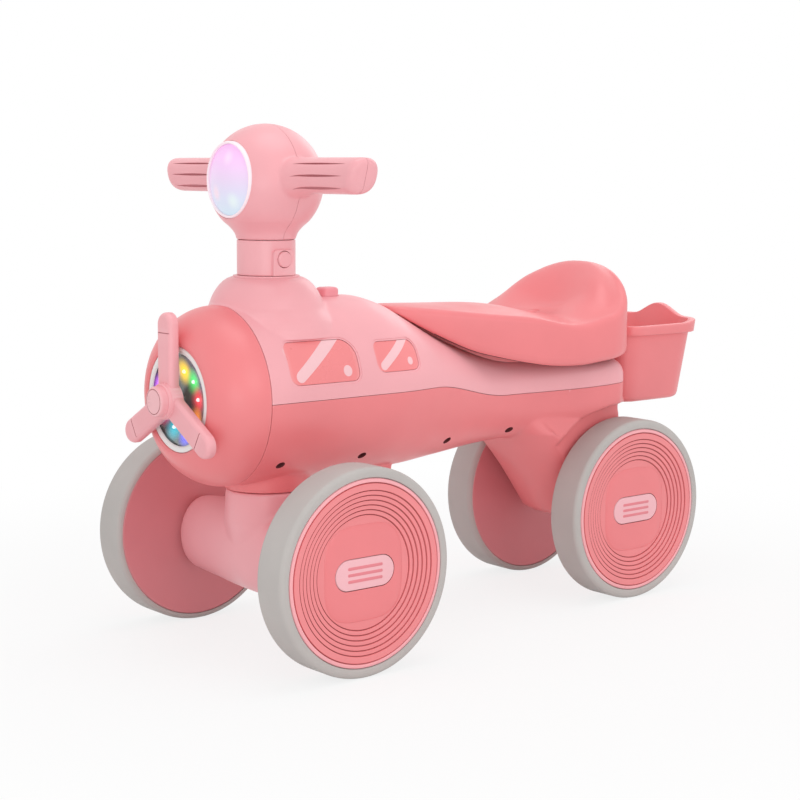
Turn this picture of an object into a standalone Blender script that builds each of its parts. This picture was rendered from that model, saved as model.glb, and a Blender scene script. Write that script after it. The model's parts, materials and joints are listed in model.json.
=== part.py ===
# Toddler balance scooter in the shape of a small aeroplane: a two-shell fuselage on four wide
# wheels, with a steered front axle, a saddle, a spinning propeller and a lift-off tail bucket.
#
# Sizes are in millimetres and become metres as each mesh is made. The working frame has its
# origin on the ground under the steering column: nose towards -Y, left side towards +X, up +Z.
# One empty then shifts the whole scooter, so that the model's origin is the bottom centre of
# its own box.

from math import atan2, cos, hypot, pi, radians, sin, sqrt, tan

import bmesh
import bpy
from mathutils import Matrix, Vector

MM = 0.001
SEATED = 0.3          # gap that touching pieces keep
RUNNING = 0.4         # gap between pieces that turn or slide
WALL = 2.6            # moulded wall of shells, head and nose
BEYOND = 40.0         # how far a cutting solid runs past what it cuts

# Wheels and axles
WHEEL_RADIUS = 75.0
AXLE_Z = 75.0                                        # height of both axles in the working frame
TYRE_WIDTH = 29.4
TYRE_SHOULDER = 4.2
TYRE_SEGMENTS = 20
DISC_SEGMENTS = 16
TREAD_THICKNESS = 9.0                                # foam outside the outer disc
BACK_TREAD_THICKNESS = 4.65                          # foam outside the inner disc
INNER_DISC_PLATE = 2.5
DISC_DISH = 5.0                                      # depth of the centre plate below the rim
DISC_STEPS_IN = (25.9, 17.0, 8.5)                    # stepped rings, in from the disc's edge
DISC_STEP_LEAN = 0.3
DISC_RIM_BEVEL = 3.4
HUB_RADIUS = 12.5
HUB_STANDOFF = 2.4                                   # inner boss that keeps the wheel off its arm
AXLE_RADIUS = 4.0
AXLE_CAP_RADIUS = 8.0
AXLE_CAP_THICKNESS = 4.0
CAP_POCKET_DEPTH = 8.0
BADGE_LENGTH = 52.0
BADGE_HEIGHT = 22.0
BADGE_THICKNESS = 1.8
WHEELBASE = 321.75
FRONT_INNER_FACE = 91.3
REAR_INNER_FACE = 49.3

# Fuselage: stations from the nose joint to the tail
NOSE_JOINT_Y = -42.0
FUSELAGE_AXIS_Z = 191.0
FUSELAGE_RADIUS = 66.0
SHOULDER_Y = 75.0
WAIST_Y = 205.0
WAIST_HALF = 43.0
WAIST_TOP = 208.0
WAIST_BOTTOM = 134.0
SEAM_DIP = 14.5                                      # how far the seam drops at the waist
HIP_HALF = 60.0
HIP_TOP = 203.0
TAIL_OVERHANG = 9.25                                 # tail wall behind the rear axle
TAIL_CORNER = 18.0
TAIL_BOTTOM = 138.0
CANOPY_RISE = 3.0
SECTION_STEPS = 8
STATIONS_Y = (58.0, 94.0, 118.0, 143.0, 172.0, 205.0, 245.0, 285.0)
FACET_SAG = 1.6                                      # a facet may lie this far inside its curve
COWL_SEGMENTS = 18

# Rear fork, wheel arches
FORK_HALF = 46.0
FORK_NOSE_DEPTH = 36.0
FORK_TOP_Z = 153.0
FORK_FRONT_TOP = (-86.25, 133.0)                     # from the rear axle; on the centre line
FORK_FRONT_LOW = (-44.25, 76.0)
FORK_TOE_RADIUS = 12.0
FORK_BOSS_RADIUS = 19.0
AXLE_TUBE_RADIUS = 9.0
ARCH_CLEARANCE = 11.5
ARCH_SEGMENTS = 18

# Cowl, neck and steering column
COWL_RISE = 20.3                                     # above the fuselage's roof
COWL_BRIM_RADIUS = 46.0
COWL_BRIM_DROP = 22.3
COWL_FOOT_DROP = 41.3
COWL_ROOF = 3.0
STEM_RADIUS = 15.0
STEM_BORE = 11.5
STEM_TOP_Z = 318.0
NECK_RADIUS = 21.5
NECK_TOP_Z = 303.4
NECK_SPIGOT_RADIUS = 18.0
NECK_SPIGOT_LENGTH = 9.0
BUSH_RADIUS = 19.0
BUSH_FLANGE = 23.0
BUSH_FLANGE_THICKNESS = 3.4
COLLAR_RADIUS = 32.3
COLLAR_DROP = 5.5                                    # below the fuselage's belly
BUSH_SEAT_RADIUS = 27.0
BUSH_SEAT_RISE = 9.0

# Snap button that locks the handlebar on the column
SNAP_Z = 289.5
SNAP_RADIUS = 5.8
SNAP_PROUD = 1.6
SNAP_FLANGE_RADIUS = 7.0
SNAP_FLANGE_THICKNESS = 2.0
SNAP_TRAVEL = 2.5
SNAP_PLATE_HALF = 9.0
SNAP_PLATE_TOP_Z = 296.5
SNAP_PLATE_PROUD = 1.4

# Handlebar head
HEAD_RADIUS = 42.3
HEAD_Z = 344.8
HEAD_SEGMENTS = 20
HEAD_SPLIT_Y = 0.0
LAMP_Y = -32.0
LAMP_Z = 346.5
LAMP_RADIUS = 27.6
LAMP_RING_WIDTH = 2.0
LAMP_RING_DEPTH = 15.0
LAMP_DOME = 6.0
LAMP_THICKNESS = 1.8
BAR_TUBE_RADIUS = 9.5
BAR_Z = 350.0

# Hand grips, moulded with the head and split with it into a front and a rear half
GRIP_FOOT_X = 113.0                                  # end of the grip at its lower edge
GRIP_END_LEAN = 8.0                                  # the upper edge reaches further out
GRIP_END_ROUND = 4.0
GRIP_DEPTH = 13.0
GRIP_TOP_Z = 362.6
GRIP_BOTTOM_Z = 337.2
GRIP_ROOT_X = 26.0
GRIP_ROOT_DROP = 5.6
GRIP_ROOT_FLARE = 4.0
GRIP_GROOVE_DEPTH = 1.4
GRIP_GROOVE_START = 48.0
GRIP_GROOVE_STOP = 104.0

# Front axle housing
POST_RADIUS = 31.0
BEAM_CENTRE_Z = 71.0
BEAM_END_HALF_HEIGHT = 28.0
BEAM_END_HALF_DEPTH = 21.0
BEAM_MID_HALF_HEIGHT = 35.0
BEAM_MID_HALF_DEPTH = 30.0
STEM_SOCKET_FLOOR_Z = 84.0

# Nose cone with its lamp
NOSE_TIP_Y = -79.0
NOSE_OPENING_RADIUS = 38.3
NOSE_SEGMENTS = 20
NOSE_LEDGE_RADIUS = 33.5
NOSE_LEDGE_Y = -74.0
NOSE_LEDGE_THICKNESS = 2.0
BEZEL_INNER_RADIUS = 33.5
BEZEL_PROUD = 1.4
LENS_THICKNESS = 1.5
LENS_DOME = 2.2
REFLECTOR_FLANGE = 0.8
REFLECTOR_FLOOR_Y = -62.0
REFLECTOR_FLOOR_RADIUS = 12.0
LIGHT_BOARD_RADIUS = 26.0
LIGHT_BOARD_THICKNESS = 1.6

# Propeller on its pin
PIN_RADIUS = 3.0
PIN_TIP_Y = -94.0
PIN_HEAD_RADIUS = 6.5
PIN_HEAD_THICKNESS = 2.5
PROPELLER_BACK_Y = -81.6
PROPELLER_FACE_Y = -89.4
HUB_NOSE_Y = -98.0
HUB_COLLAR_RADIUS = 13.4
HUB_NOSE_RADIUS = 10.4
BLADE_COUNT = 3
BLADE_TIP_RADIUS = 62.8
BLADE_WIDTH = 18.0
BLADE_BEVEL = 1.4

# Saddle
SEAT_TIP_Y = 102.0
SEAT_WIDE_Y = 284.0
SEAT_HALF = 77.0
SEAT_REAR_Y = 334.0
SEAT_CORNER_POWER = 2.6
SEAT_NOSE_Z = 251.6
SEAT_MID_Z = 249.0
SEAT_DISH_AHEAD = 14.0                               # dish in front of the widest place
SEAT_DISH_Z = 237.0
SEAT_REAR_Z = 239.0
SEAT_CREST_HALF = 73.0                               # where the raised back fades out
SEAT_CANTLE = 39.5
SEAT_DISH_DEPTH = 56.0                               # from the dish to the crest of the back
SEAT_SHOULDER = 7.0
SEAT_SKIRT_Z = 199.0
SEAT_WALL = 3.0
SEAT_ROLL = 7.0
SEAT_BOSS_RADIUS = 7.5
SEAT_SCREW_RADIUS = 2.4
SEAT_SCREW_HEAD = 4.5
SEAT_SCREW_BITE = 14.0

# Tail bucket
BUCKET_FRONT_GAP = 3.0
BUCKET_REAR_Y = 428.0
BUCKET_HALF = 44.0
BUCKET_FLOOR_HALF = 41.0
BUCKET_FLOOR_REAR_Y = 420.0
BUCKET_FLOOR_Z = 159.0
BUCKET_RIM_Z = 224.5
BUCKET_LIP_DEPTH = 8.0
BUCKET_LIP_REACH = 4.5
BUCKET_WAVE = 13.5
BUCKET_WAVE_HALF = 30.0
BUCKET_WALL = 2.3
BUCKET_FRONT_CORNER = 7.0
BUCKET_REAR_CORNER = 14.0
HOOK_INNER_X = 9.0
HOOK_WIDTH = 8.0
HOOK_THICKNESS = 6.0
HOOK_DROP = 8.0
HOOK_TOP_Z = 166.0
BUCKET_LIFT = 8.0

# Battery compartment, speaker and sound board
CELL_RADIUS = 7.1
CELL_LENGTH = 50.0
CELL_PITCH = 15.0
BATTERY_WALL = 1.6
BATTERY_CENTRE_Y = 68.0
BATTERY_PAD_DROP = 0.6
COVER_THICKNESS = 2.4
SPEAKER_Y = 150.0
SPEAKER_RADIUS = 18.0
SPEAKER_SEAT_RISE = 14.0                              # above the fuselage's belly
SPEAKER_HEIGHT = 11.0
SPEAKER_SLOTS = 3
SPEAKER_SLOT_PITCH = 8.0
BUTTON_Y = 56.0
BUTTON_LENGTH = 15.0
BUTTON_WIDTH = 14.0
BUTTON_RISE = 9.3
BUTTON_TRAVEL = 1.5
BUTTON_FLANGE = 1.8
BOARD_DROP = 10.4
BOARD_THICKNESS = 1.5

# Side windows, one large and one small on each side, and the assembly screw recesses
WINDOW_DEPTH = 1.9
WINDOW_INLAY = 1.1
WINDOW_SINK = 0.5
LARGE_WINDOW = (-24.0, 38.0, 202.5, 232.5)           # front, rear, lower and upper edge
SMALL_WINDOW = (55.0, 97.0, 206.5, 229.0)
WINDOW_CORNER = 6.0
LARGE_WINDOW_SWEEP = 13.0                            # upper rear corner
SMALL_WINDOW_SWEEP = 9.0
SCREW_RECESS_RADIUS = 4.0
SCREW_SEAT = 4.0                                     # left above the recess for the screw head
SCREW_RECESSES = ((-21.0, 46.0), (54.0, 45.5), (146.0, 36.5), (217.0, 31.5))

OUTER_DISC_RADIUS = WHEEL_RADIUS - TREAD_THICKNESS
INNER_DISC_RADIUS = WHEEL_RADIUS - BACK_TREAD_THICKNESS
ROOF_Z = FUSELAGE_AXIS_Z + FUSELAGE_RADIUS
BELLY_Z = FUSELAGE_AXIS_Z - FUSELAGE_RADIUS
COWL_TOP_Z = ROOF_Z + COWL_RISE
COWL_BRIM_Z = COWL_TOP_Z - COWL_BRIM_DROP
COWL_FOOT_Z = COWL_TOP_Z - COWL_FOOT_DROP
COLLAR_BOTTOM_Z = BELLY_Z - COLLAR_DROP
BUSH_SEAT_Z = BELLY_Z + BUSH_SEAT_RISE
BATTERY_PAD_Z = BELLY_Z - BATTERY_PAD_DROP
SPEAKER_SEAT_Z = BELLY_Z + SPEAKER_SEAT_RISE
BUTTON_TOP_Z = ROOF_Z + BUTTON_RISE
BOARD_Z = ROOF_Z - BOARD_DROP
REAR_AXLE_Y = WHEELBASE
TAIL_Y = REAR_AXLE_Y + TAIL_OVERHANG
HIP_Y = TAIL_Y - 1.6 * TAIL_CORNER
BUCKET_FRONT_Y = SEAT_REAR_Y + BUCKET_FRONT_GAP
BUCKET_TAIL_Y = BUCKET_REAR_Y + BUCKET_LIP_REACH
SEAT_DISH_Y = SEAT_WIDE_Y - SEAT_DISH_AHEAD
ORIGIN_SHIFT_Y = -(BUCKET_TAIL_Y + HUB_NOSE_Y) / 2
ORIGIN_SHIFT_Z = WHEEL_RADIUS - AXLE_Z

CORAL = (0.89, 0.25, 0.26)
PINK = (0.94, 0.45, 0.50)
TYRE_GREY = (0.49, 0.46, 0.44)


def clear_scene():
    for thing in list(bpy.data.objects):
        bpy.data.objects.remove(thing, do_unlink=True)


def material(name, colour, roughness, metallic=0.0):
    made = bpy.data.materials.get(name)
    if made is None:
        made = bpy.data.materials.new(name)
        made.use_nodes = True
        shader = made.node_tree.nodes["Principled BSDF"]
        shader.inputs["Base Color"].default_value = (*colour, 1.0)
        shader.inputs["Roughness"].default_value = roughness
        shader.inputs["Metallic"].default_value = metallic
    return made


def coral_plastic():
    return material("coral_plastic", CORAL, 0.38)


def pink_plastic():
    return material("pink_plastic", PINK, 0.38)


def tyre_rubber():
    return material("tyre_rubber", TYRE_GREY, 0.75)


def white_plastic():
    return material("white_plastic", (0.85, 0.84, 0.82), 0.35)


def clear_plastic():
    return material("clear_plastic", (0.86, 0.90, 0.92), 0.08)


def frosted_plastic():
    return material("frosted_plastic", (0.88, 0.72, 0.86), 0.45)


def silvered_plastic():
    return material("silvered_plastic", (0.82, 0.83, 0.84), 0.18, 1.0)


def steel():
    return material("steel", (0.60, 0.60, 0.61), 0.30, 1.0)


def bearing_plastic():
    return material("bearing_plastic", (0.80, 0.79, 0.75), 0.45)


def circuit_board():
    return material("circuit_board", (0.05, 0.22, 0.10), 0.50)


def black_plastic():
    return material("black_plastic", (0.03, 0.03, 0.03), 0.45)


# Curves and sections

def through(points, at):
    """Smooth value at a place, on a curve through (place, value) points."""
    if at <= points[0][0]:
        return points[0][1]
    if at >= points[-1][0]:
        return points[-1][1]
    slopes = []
    for index in range(len(points)):
        before = points[max(index - 1, 0)]
        after = points[min(index + 1, len(points) - 1)]
        here = points[index]
        if 0 < index < len(points) - 1 and (here[1] - before[1]) * (after[1] - here[1]) <= 0:
            slopes.append(0.0)
        else:
            slopes.append((after[1] - before[1]) / (after[0] - before[0]))
    index = max(i for i in range(len(points) - 1) if points[i][0] <= at)
    (x0, v0), (x1, v1) = points[index], points[index + 1]
    span = x1 - x0
    t = (at - x0) / span
    start = (1 + 2 * t) * (1 - t) ** 2 * v0 + t * (1 - t) ** 2 * span * slopes[index]
    return start + t * t * (3 - 2 * t) * v1 + t * t * (t - 1) * span * slopes[index + 1]


def eased(value):
    value = min(max(value, 0.0), 1.0)
    return value * value * (3 - 2 * value)


def powered(value, power):
    return abs(value) ** (2 / power) * (1 if value >= 0 else -1)


def rounded_outline(corners, radii, steps=4):
    """A polygon with its corners rounded; counter-clockwise points in, finer points out."""
    outline = []
    count = len(corners)
    for index, (corner, radius) in enumerate(zip(corners, radii)):
        here = Vector(corner)
        back = Vector(corners[index - 1]) - here
        ahead = Vector(corners[(index + 1) % count]) - here
        if radius <= 0:
            outline.append(here)
            continue
        back.normalize()
        ahead.normalize()
        half = back.angle(ahead) / 2
        middle = here + (back + ahead).normalized() * (radius / sin(half))
        first = here + back * (radius / tan(half)) - middle
        last = here + ahead * (radius / tan(half)) - middle
        turn = atan2(first.x * last.y - first.y * last.x, first.dot(last))
        for step in range(steps + 1):
            angle = turn * step / steps
            outline.append(middle + Matrix.Rotation(angle, 2) @ first)
    return outline


def capsule_outline(length, height, steps=5):
    half = height / 2
    reach = length / 2 - half
    points = []
    for side, start in ((1, -pi / 2), (-1, pi / 2)):
        for step in range(steps + 1):
            angle = start + pi * step / steps
            points.append(Vector((side * reach + half * cos(angle), half * sin(angle))))
    return points


# Solids

def finished(name, shape, finish):
    """A named object from a bmesh in millimetres."""
    bmesh.ops.remove_doubles(shape, verts=shape.verts, dist=1e-3)
    bmesh.ops.recalc_face_normals(shape, faces=shape.faces)
    bmesh.ops.scale(shape, vec=(MM, MM, MM), verts=shape.verts)
    mesh = bpy.data.meshes.new(name)
    shape.to_mesh(mesh)
    shape.free()
    piece = bpy.data.objects.new(name, mesh)
    bpy.context.scene.collection.objects.link(piece)
    mesh.materials.append(finish)
    smooth_sides(piece)
    return piece


def smooth_sides(piece):
    piece.data.shade_smooth()
    piece.data.set_sharp_from_angle(angle=radians(32))


def loft(name, rings, finish, closed_ends=True):
    """A skin over rings of equal length, each a closed loop of points."""
    shape = bmesh.new()
    loops = [[shape.verts.new(point) for point in ring] for ring in rings]
    count = len(rings[0])
    for lower, upper in zip(loops, loops[1:]):
        for index in range(count):
            following = (index + 1) % count
            shape.faces.new((lower[index], lower[following], upper[following], upper[index]))
    if closed_ends:
        shape.faces.new(loops[0])
        shape.faces.new(loops[-1])
    return finished(name, shape, finish)


def turned(name, profile, centre, axis, finish, segments):
    """A turned solid: a closed profile of (radius, distance along the axis)."""
    axis = Vector(axis).normalized()
    start = Vector((0, 0, -1)) if abs(axis.z) < 0.5 else Vector((1, 0, 0))
    side = axis.cross(start)
    shape = bmesh.new()
    rings = []
    for radius, distance in profile:
        base = Vector(centre) + axis * distance
        if radius < 1e-6:
            rings.append([shape.verts.new(base)])
            continue
        ring = []
        for index in range(segments):
            angle = 2 * pi * (index + 0.5) / segments
            ring.append(shape.verts.new(base + (start * cos(angle) + side * sin(angle)) * radius))
        rings.append(ring)
    for first, second in zip(rings, rings[1:] + rings[:1]):
        for index in range(segments):
            following = (index + 1) % segments
            corners = [first[index % len(first)], first[following % len(first)],
                       second[following % len(second)], second[index % len(second)]]
            corners = [corner for place, corner in enumerate(corners)
                       if corner not in corners[:place]]
            if len(corners) > 2:
                shape.faces.new(corners)
    return finished(name, shape, finish)


def cylinder(name, radius, start, stop, finish, segments=24):
    """A plain rod between two points."""
    start, stop = Vector(start), Vector(stop)
    length = (stop - start).length
    profile = [(0, 0), (radius, 0), (radius, length), (0, length)]
    return turned(name, profile, start, stop - start, finish, segments)


def block(name, low, high, finish):
    shape = bmesh.new()
    bmesh.ops.create_cube(shape, size=1.0)
    for vert in shape.verts:
        vert.co = Vector([low[axis] if vert.co[axis] < 0 else high[axis] for axis in range(3)])
    return finished(name, shape, finish)


def prism(name, outline, place, finish):
    """A straight solid; place turns an outline point and an end (0 or 1) into a 3-D point."""
    return loft(name, [[place(point, end) for point in outline] for end in (0, 1)], finish)


def combine(piece, tool, operation):
    modifier = piece.modifiers.new("combine", "BOOLEAN")
    modifier.operation = operation
    modifier.solver = "EXACT"
    modifier.object = tool
    graph = bpy.context.evaluated_depsgraph_get()
    made = bpy.data.meshes.new_from_object(piece.evaluated_get(graph))
    piece.modifiers.clear()
    piece.data = made
    bpy.data.objects.remove(tool, do_unlink=True)
    shape = bmesh.new()
    shape.from_mesh(made)
    bmesh.ops.remove_doubles(shape, verts=shape.verts, dist=1e-6)
    shape.to_mesh(made)
    shape.free()
    smooth_sides(piece)
    return piece


def cut(piece, tool):
    return combine(piece, tool, "DIFFERENCE")


def join(piece, tool):
    return combine(piece, tool, "UNION")


def keep(piece, tool):
    return combine(piece, tool, "INTERSECT")


def hang_on(piece, parent):
    """Parent a piece and move its origin to the parent's, with the shape left in place."""
    centre = parent.matrix_world.translation
    piece.data.transform(Matrix.Translation(-centre))
    piece.parent = parent
    return piece


def pivot(name, place, parent):
    empty = bpy.data.objects.new(name, None)
    bpy.context.scene.collection.objects.link(empty)
    if parent is not None:
        empty.parent = parent
    offset = Vector(place) * MM
    empty.location = offset - (parent.matrix_world.translation if parent else Vector())
    bpy.context.view_layer.update()
    return empty


# Fuselage sections

HALF_WIDTH_CURVE = (
    (NOSE_JOINT_Y, FUSELAGE_RADIUS), (SHOULDER_Y, FUSELAGE_RADIUS),
    (SHOULDER_Y + 35, FUSELAGE_RADIUS - 5), (SHOULDER_Y + 65, WAIST_HALF + 11),
    (WAIST_Y, WAIST_HALF), (WAIST_Y + 40, WAIST_HALF + 4), (HIP_Y - 18, HIP_HALF - 3),
    (HIP_Y, HIP_HALF))
TOP_CURVE = (
    (NOSE_JOINT_Y, ROOF_Z), (SHOULDER_Y - 5, ROOF_Z + CANOPY_RISE),
    (SHOULDER_Y + 20, ROOF_Z - 3), (SHOULDER_Y + 37, ROOF_Z - 12), (SHOULDER_Y + 55, ROOF_Z - 22),
    (WAIST_Y - 55, WAIST_TOP + 17.5), (WAIST_Y - 30, WAIST_TOP + 8),
    (WAIST_Y, WAIST_TOP), (WAIST_Y + 40, HIP_TOP + 1), (HIP_Y - 30, HIP_TOP), (HIP_Y, HIP_TOP))
BOTTOM_CURVE = (
    (NOSE_JOINT_Y, BELLY_Z), (SHOULDER_Y + 30, BELLY_Z), (WAIST_Y - 55, BELLY_Z + 3.5),
    (WAIST_Y, WAIST_BOTTOM), (HIP_Y, TAIL_BOTTOM))
SEAM_CURVE = (
    (NOSE_JOINT_Y, FUSELAGE_AXIS_Z), (115, FUSELAGE_AXIS_Z), (WAIST_Y, FUSELAGE_AXIS_Z - SEAM_DIP),
    (WAIST_Y + 25, FUSELAGE_AXIS_Z - SEAM_DIP), (TAIL_Y, FUSELAGE_AXIS_Z - SEAM_DIP + 4))
UPPER_POWER = ((100, 2.0), (WAIST_Y, 2.3), (HIP_Y - 30, 3.6), (TAIL_Y, 3.8))
LOWER_POWER = ((100, 2.0), (WAIST_Y, 2.1), (HIP_Y - 30, 2.9), (TAIL_Y, 3.3))


def tail_rounding(y, inset):
    """How far the tail's corners draw the section in at a station."""
    corner = TAIL_CORNER - inset
    into = y - (TAIL_Y - TAIL_CORNER)
    if into <= 0:
        return 0.0
    return corner - sqrt(max(corner ** 2 - into ** 2, 0.0))


def fuselage_section(y, inset):
    """Half width, seam height, height above it, depth below it, and the two powers."""
    rounding = tail_rounding(y, inset)
    seam = through(SEAM_CURVE, y)
    half = through(HALF_WIDTH_CURVE, y) - inset - rounding
    above = through(TOP_CURVE, y) - inset - 0.6 * rounding - seam
    below = seam - through(BOTTOM_CURVE, y) - inset - 0.5 * rounding
    return half, seam, above, below, through(UPPER_POWER, y), through(LOWER_POWER, y)


def station_places(first, last):
    corner = TAIL_Y - TAIL_CORNER
    places = [first] + [y for y in STATIONS_Y if first < y < last] + [min(last, corner)]
    if last > corner:
        reach = last - corner
        places += [corner + reach * sin(radians(angle)) for angle in (35, 65, 90)]
    return places


def section_roof(x, y, inset):
    half, seam, above, _, power, _ = fuselage_section(y, inset)
    share = min(abs(x) / half, 1.0)
    return seam + above * (1 - share ** power) ** (1 / power)


def fuselage_roof(x, y, inset=0.0):
    """Height of the upper shell above a point of the plan; straight between stations."""
    places = station_places(NOSE_JOINT_Y, TAIL_Y)
    y = min(max(y, places[0]), places[-1])
    index = max(i for i in range(len(places) - 1) if places[i] <= y)
    before, after = places[index:index + 2]
    share = (y - before) / (after - before)
    return (section_roof(x, before, inset) * (1 - share)
            + section_roof(x, after, inset) * share)


def fuselage_half(name, upper, inset, first, last, beyond_seam):
    """Solid half of the fuselage, above or below the seam."""
    sign = 1 if upper else -1
    rings = []
    for y in station_places(first, last):
        half, seam, above, below, power_up, power_down = fuselage_section(y, inset)
        rise, power = (above, power_up) if upper else (below, power_down)
        base = seam - sign * beyond_seam
        ring = [Vector((half, y, base))] if beyond_seam > 0 else []
        for step in range(SECTION_STEPS + 1):
            angle = pi * step / SECTION_STEPS
            x = half * powered(cos(angle), power)
            z = seam + sign * rise * powered(sin(angle), power)
            if beyond_seam < 0:
                z = seam + sign * max(sign * (z - seam), -beyond_seam)
            ring.append(Vector((x, y, z)))
        if beyond_seam > 0:
            ring.append(Vector((-half, y, base)))
        rings.append(ring)
    return loft(name, rings, coral_plastic())


def cowl_profile(inset):
    """Dome around the column; inset 0 gives the outside."""
    top = COWL_TOP_Z - inset
    brim = COWL_BRIM_RADIUS - inset
    return [(0, top), (27.0 - inset, top), (32.0 - inset, top - 2.2), (38.0 - inset, top - 8.5),
            (brim - 2.6, top - 16.5), (brim, COWL_BRIM_Z), (brim, COWL_FOOT_Z), (0, COWL_FOOT_Z)]


def window_outline(edges, sweep, shrink):
    front, rear, low, high = edges
    corners = [(front + shrink, low + shrink), (rear - shrink, low + shrink),
               (rear - shrink, high - shrink), (front + shrink, high - shrink)]
    return rounded_outline(corners, [WINDOW_CORNER, WINDOW_CORNER, sweep, WINDOW_CORNER], 2)


def window_block(name, edges, sweep, side, shrink):
    outline = window_outline(edges, sweep, shrink)
    near = FUSELAGE_RADIUS / 2
    far = FUSELAGE_RADIUS + BEYOND
    return prism(name, outline,
                 lambda point, end: Vector((side * (far if end else near), point.x, point.y)),
                 coral_plastic())


def window_skin(name, inset):
    """The upper half of the fuselage along the windows, drawn in by an inset."""
    return fuselage_half(name, True, inset, NOSE_JOINT_Y - WALL, SMALL_WINDOW[1] + BEYOND,
                         WALL + inset)


def upper_shell():
    shell = fuselage_half("body_upper_shell", True, 0, NOSE_JOINT_Y + SEATED / 2, TAIL_Y,
                          -SEATED / 2)
    shell = join(shell, turned("cowl", cowl_profile(0), (0, 0, 0), (0, 0, 1), pink_plastic(),
                               COWL_SEGMENTS))
    hollow = fuselage_half("hollow", True, WALL, NOSE_JOINT_Y - 4, TAIL_Y - WALL, 3)
    cowl_hollow = turned("cowl_hollow", cowl_profile(COWL_ROOF), (0, 0, 0), (0, 0, 1),
                         pink_plastic(), COWL_SEGMENTS)
    hollow = join(hollow, cowl_hollow)
    shell = cut(shell, hollow)
    roof = fuselage_roof(0, SEAT_DISH_Y)
    boss = cylinder("boss", SEAT_BOSS_RADIUS, (0, SEAT_DISH_Y, roof - 0.8),
                    (0, SEAT_DISH_Y, roof - SEAT_SCREW_BITE), pink_plastic(), 12)
    shell = join(shell, boss)
    bore = cylinder("bore", SEAT_SCREW_RADIUS + SEATED, (0, SEAT_DISH_Y, roof + 4),
                    (0, SEAT_DISH_Y, roof - SEAT_SCREW_BITE - 1), pink_plastic(), 8)
    shell = cut(shell, bore)
    shell = cut(shell, cylinder("neck_hole", BUSH_RADIUS + SEATED, (0, 0, COWL_FOOT_Z),
                                (0, 0, COWL_TOP_Z + 4), pink_plastic(), 16))
    slot = music_button_block("button_slot", RUNNING, FUSELAGE_AXIS_Z + 50, BUTTON_TOP_Z + 4)
    shell = cut(shell, slot)
    for side in (-1, 1):
        for edges, sweep in ((LARGE_WINDOW, LARGE_WINDOW_SWEEP), (SMALL_WINDOW, SMALL_WINDOW_SWEEP)):
            recess = window_block("recess", edges, sweep, side, 0)
            shell = cut(shell, cut(recess, window_skin("core", WINDOW_DEPTH)))
    for x in (-1, 1):
        post = cylinder("post", 3.0, (x * 13, BUTTON_Y + 17, BOARD_Z + BOARD_THICKNESS + SEATED),
                        (x * 13, BUTTON_Y + 17, fuselage_roof(13, BUTTON_Y + 17) - 1),
                        pink_plastic(), 8)
        shell = join(shell, post)
    shell.data.materials.clear()
    shell.data.materials.append(pink_plastic())
    return shell


def window_inlay(name, edges, sweep, side):
    plate = window_block(name, edges, sweep, side, SEATED)
    skin = window_skin("skin", WINDOW_SINK)
    return cut(keep(plate, skin), window_skin("core", WINDOW_SINK + WINDOW_INLAY))


def fork_profile(shift, inset):
    """Side outline of the rear fork in (y, z), counter-clockwise seen from +X."""
    run = FORK_FRONT_LOW[0] - FORK_FRONT_TOP[0]
    fall = FORK_FRONT_TOP[1] - FORK_FRONT_LOW[1]
    length = hypot(run, fall)
    inward = (inset * fall / length, inset * run / length)
    start_z = FORK_TOP_Z + inset
    slope = run / fall
    top_y = (REAR_AXLE_Y + FORK_FRONT_TOP[0] + shift + inward[0]
             - (start_z - FORK_FRONT_TOP[1] - inward[1]) * slope)
    low_z = AXLE_Z - FORK_BOSS_RADIUS * 0.45 + inset
    low_y = (REAR_AXLE_Y + FORK_FRONT_LOW[0] + shift + inward[0]
             + (FORK_FRONT_LOW[1] + inward[1] - low_z) * slope)
    boss = FORK_BOSS_RADIUS - inset
    points = [(top_y, start_z), (low_y, low_z)]
    radii = [0, FORK_TOE_RADIUS - inset]
    for angle in (-100, -75, -50, -25, 0):
        points.append((REAR_AXLE_Y + boss * cos(radians(angle)),
                       AXLE_Z + boss * sin(radians(angle))))
        radii.append(0)
    points.append((TAIL_Y - 1.5 - inset, start_z))
    radii.append(0)
    return rounded_outline(points, radii, 3)


def fork_solid(name, inset, half, angles):
    """Rear fork with a rounded nose; the angles place its sections across the width."""
    rings = []
    for angle in angles:
        shift = FORK_NOSE_DEPTH * (1 - cos(radians(angle)))
        x = (half - 1) * sin(radians(angle))
        rings.append([Vector((x, point.x, point.y)) for point in fork_profile(shift, inset)])
    rings.insert(0, [point + Vector((-1, 0, 0)) for point in rings[0]])
    rings.append([point + Vector((1, 0, 0)) for point in rings[-1]])
    return loft(name, rings, coral_plastic())


def arch_block(name, side, extra):
    """The space that a rear wheel turns in."""
    inner = FORK_HALF - SEATED - extra
    radius = WHEEL_RADIUS + ARCH_CLEARANCE + extra
    return cylinder(name, radius, (side * inner, REAR_AXLE_Y, AXLE_Z),
                    (side * (HIP_HALF + BEYOND), REAR_AXLE_Y, AXLE_Z), coral_plastic(), ARCH_SEGMENTS)


def battery_opening():
    """Half width and the two ends of the battery cover's opening."""
    half = CELL_PITCH / 2 + CELL_RADIUS + 1.0 + BATTERY_WALL + 2.4
    reach = CELL_LENGTH / 2 + 2.0 + BATTERY_WALL + 2.0
    return half, BATTERY_CENTRE_Y - reach, BATTERY_CENTRE_Y + reach


def hook_window():
    """Lower and upper edge of the tail slots that the bucket's hooks pass through."""
    return HOOK_TOP_Z - HOOK_THICKNESS - SEATED, HOOK_TOP_Z + BUCKET_LIFT + SEATED


def inside_wall():
    """Everything below the seam that lies within the lower shell's skin."""
    return fuselage_half("inside_wall", False, WALL / 2, NOSE_JOINT_Y, TAIL_Y - WALL, 1)


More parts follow.
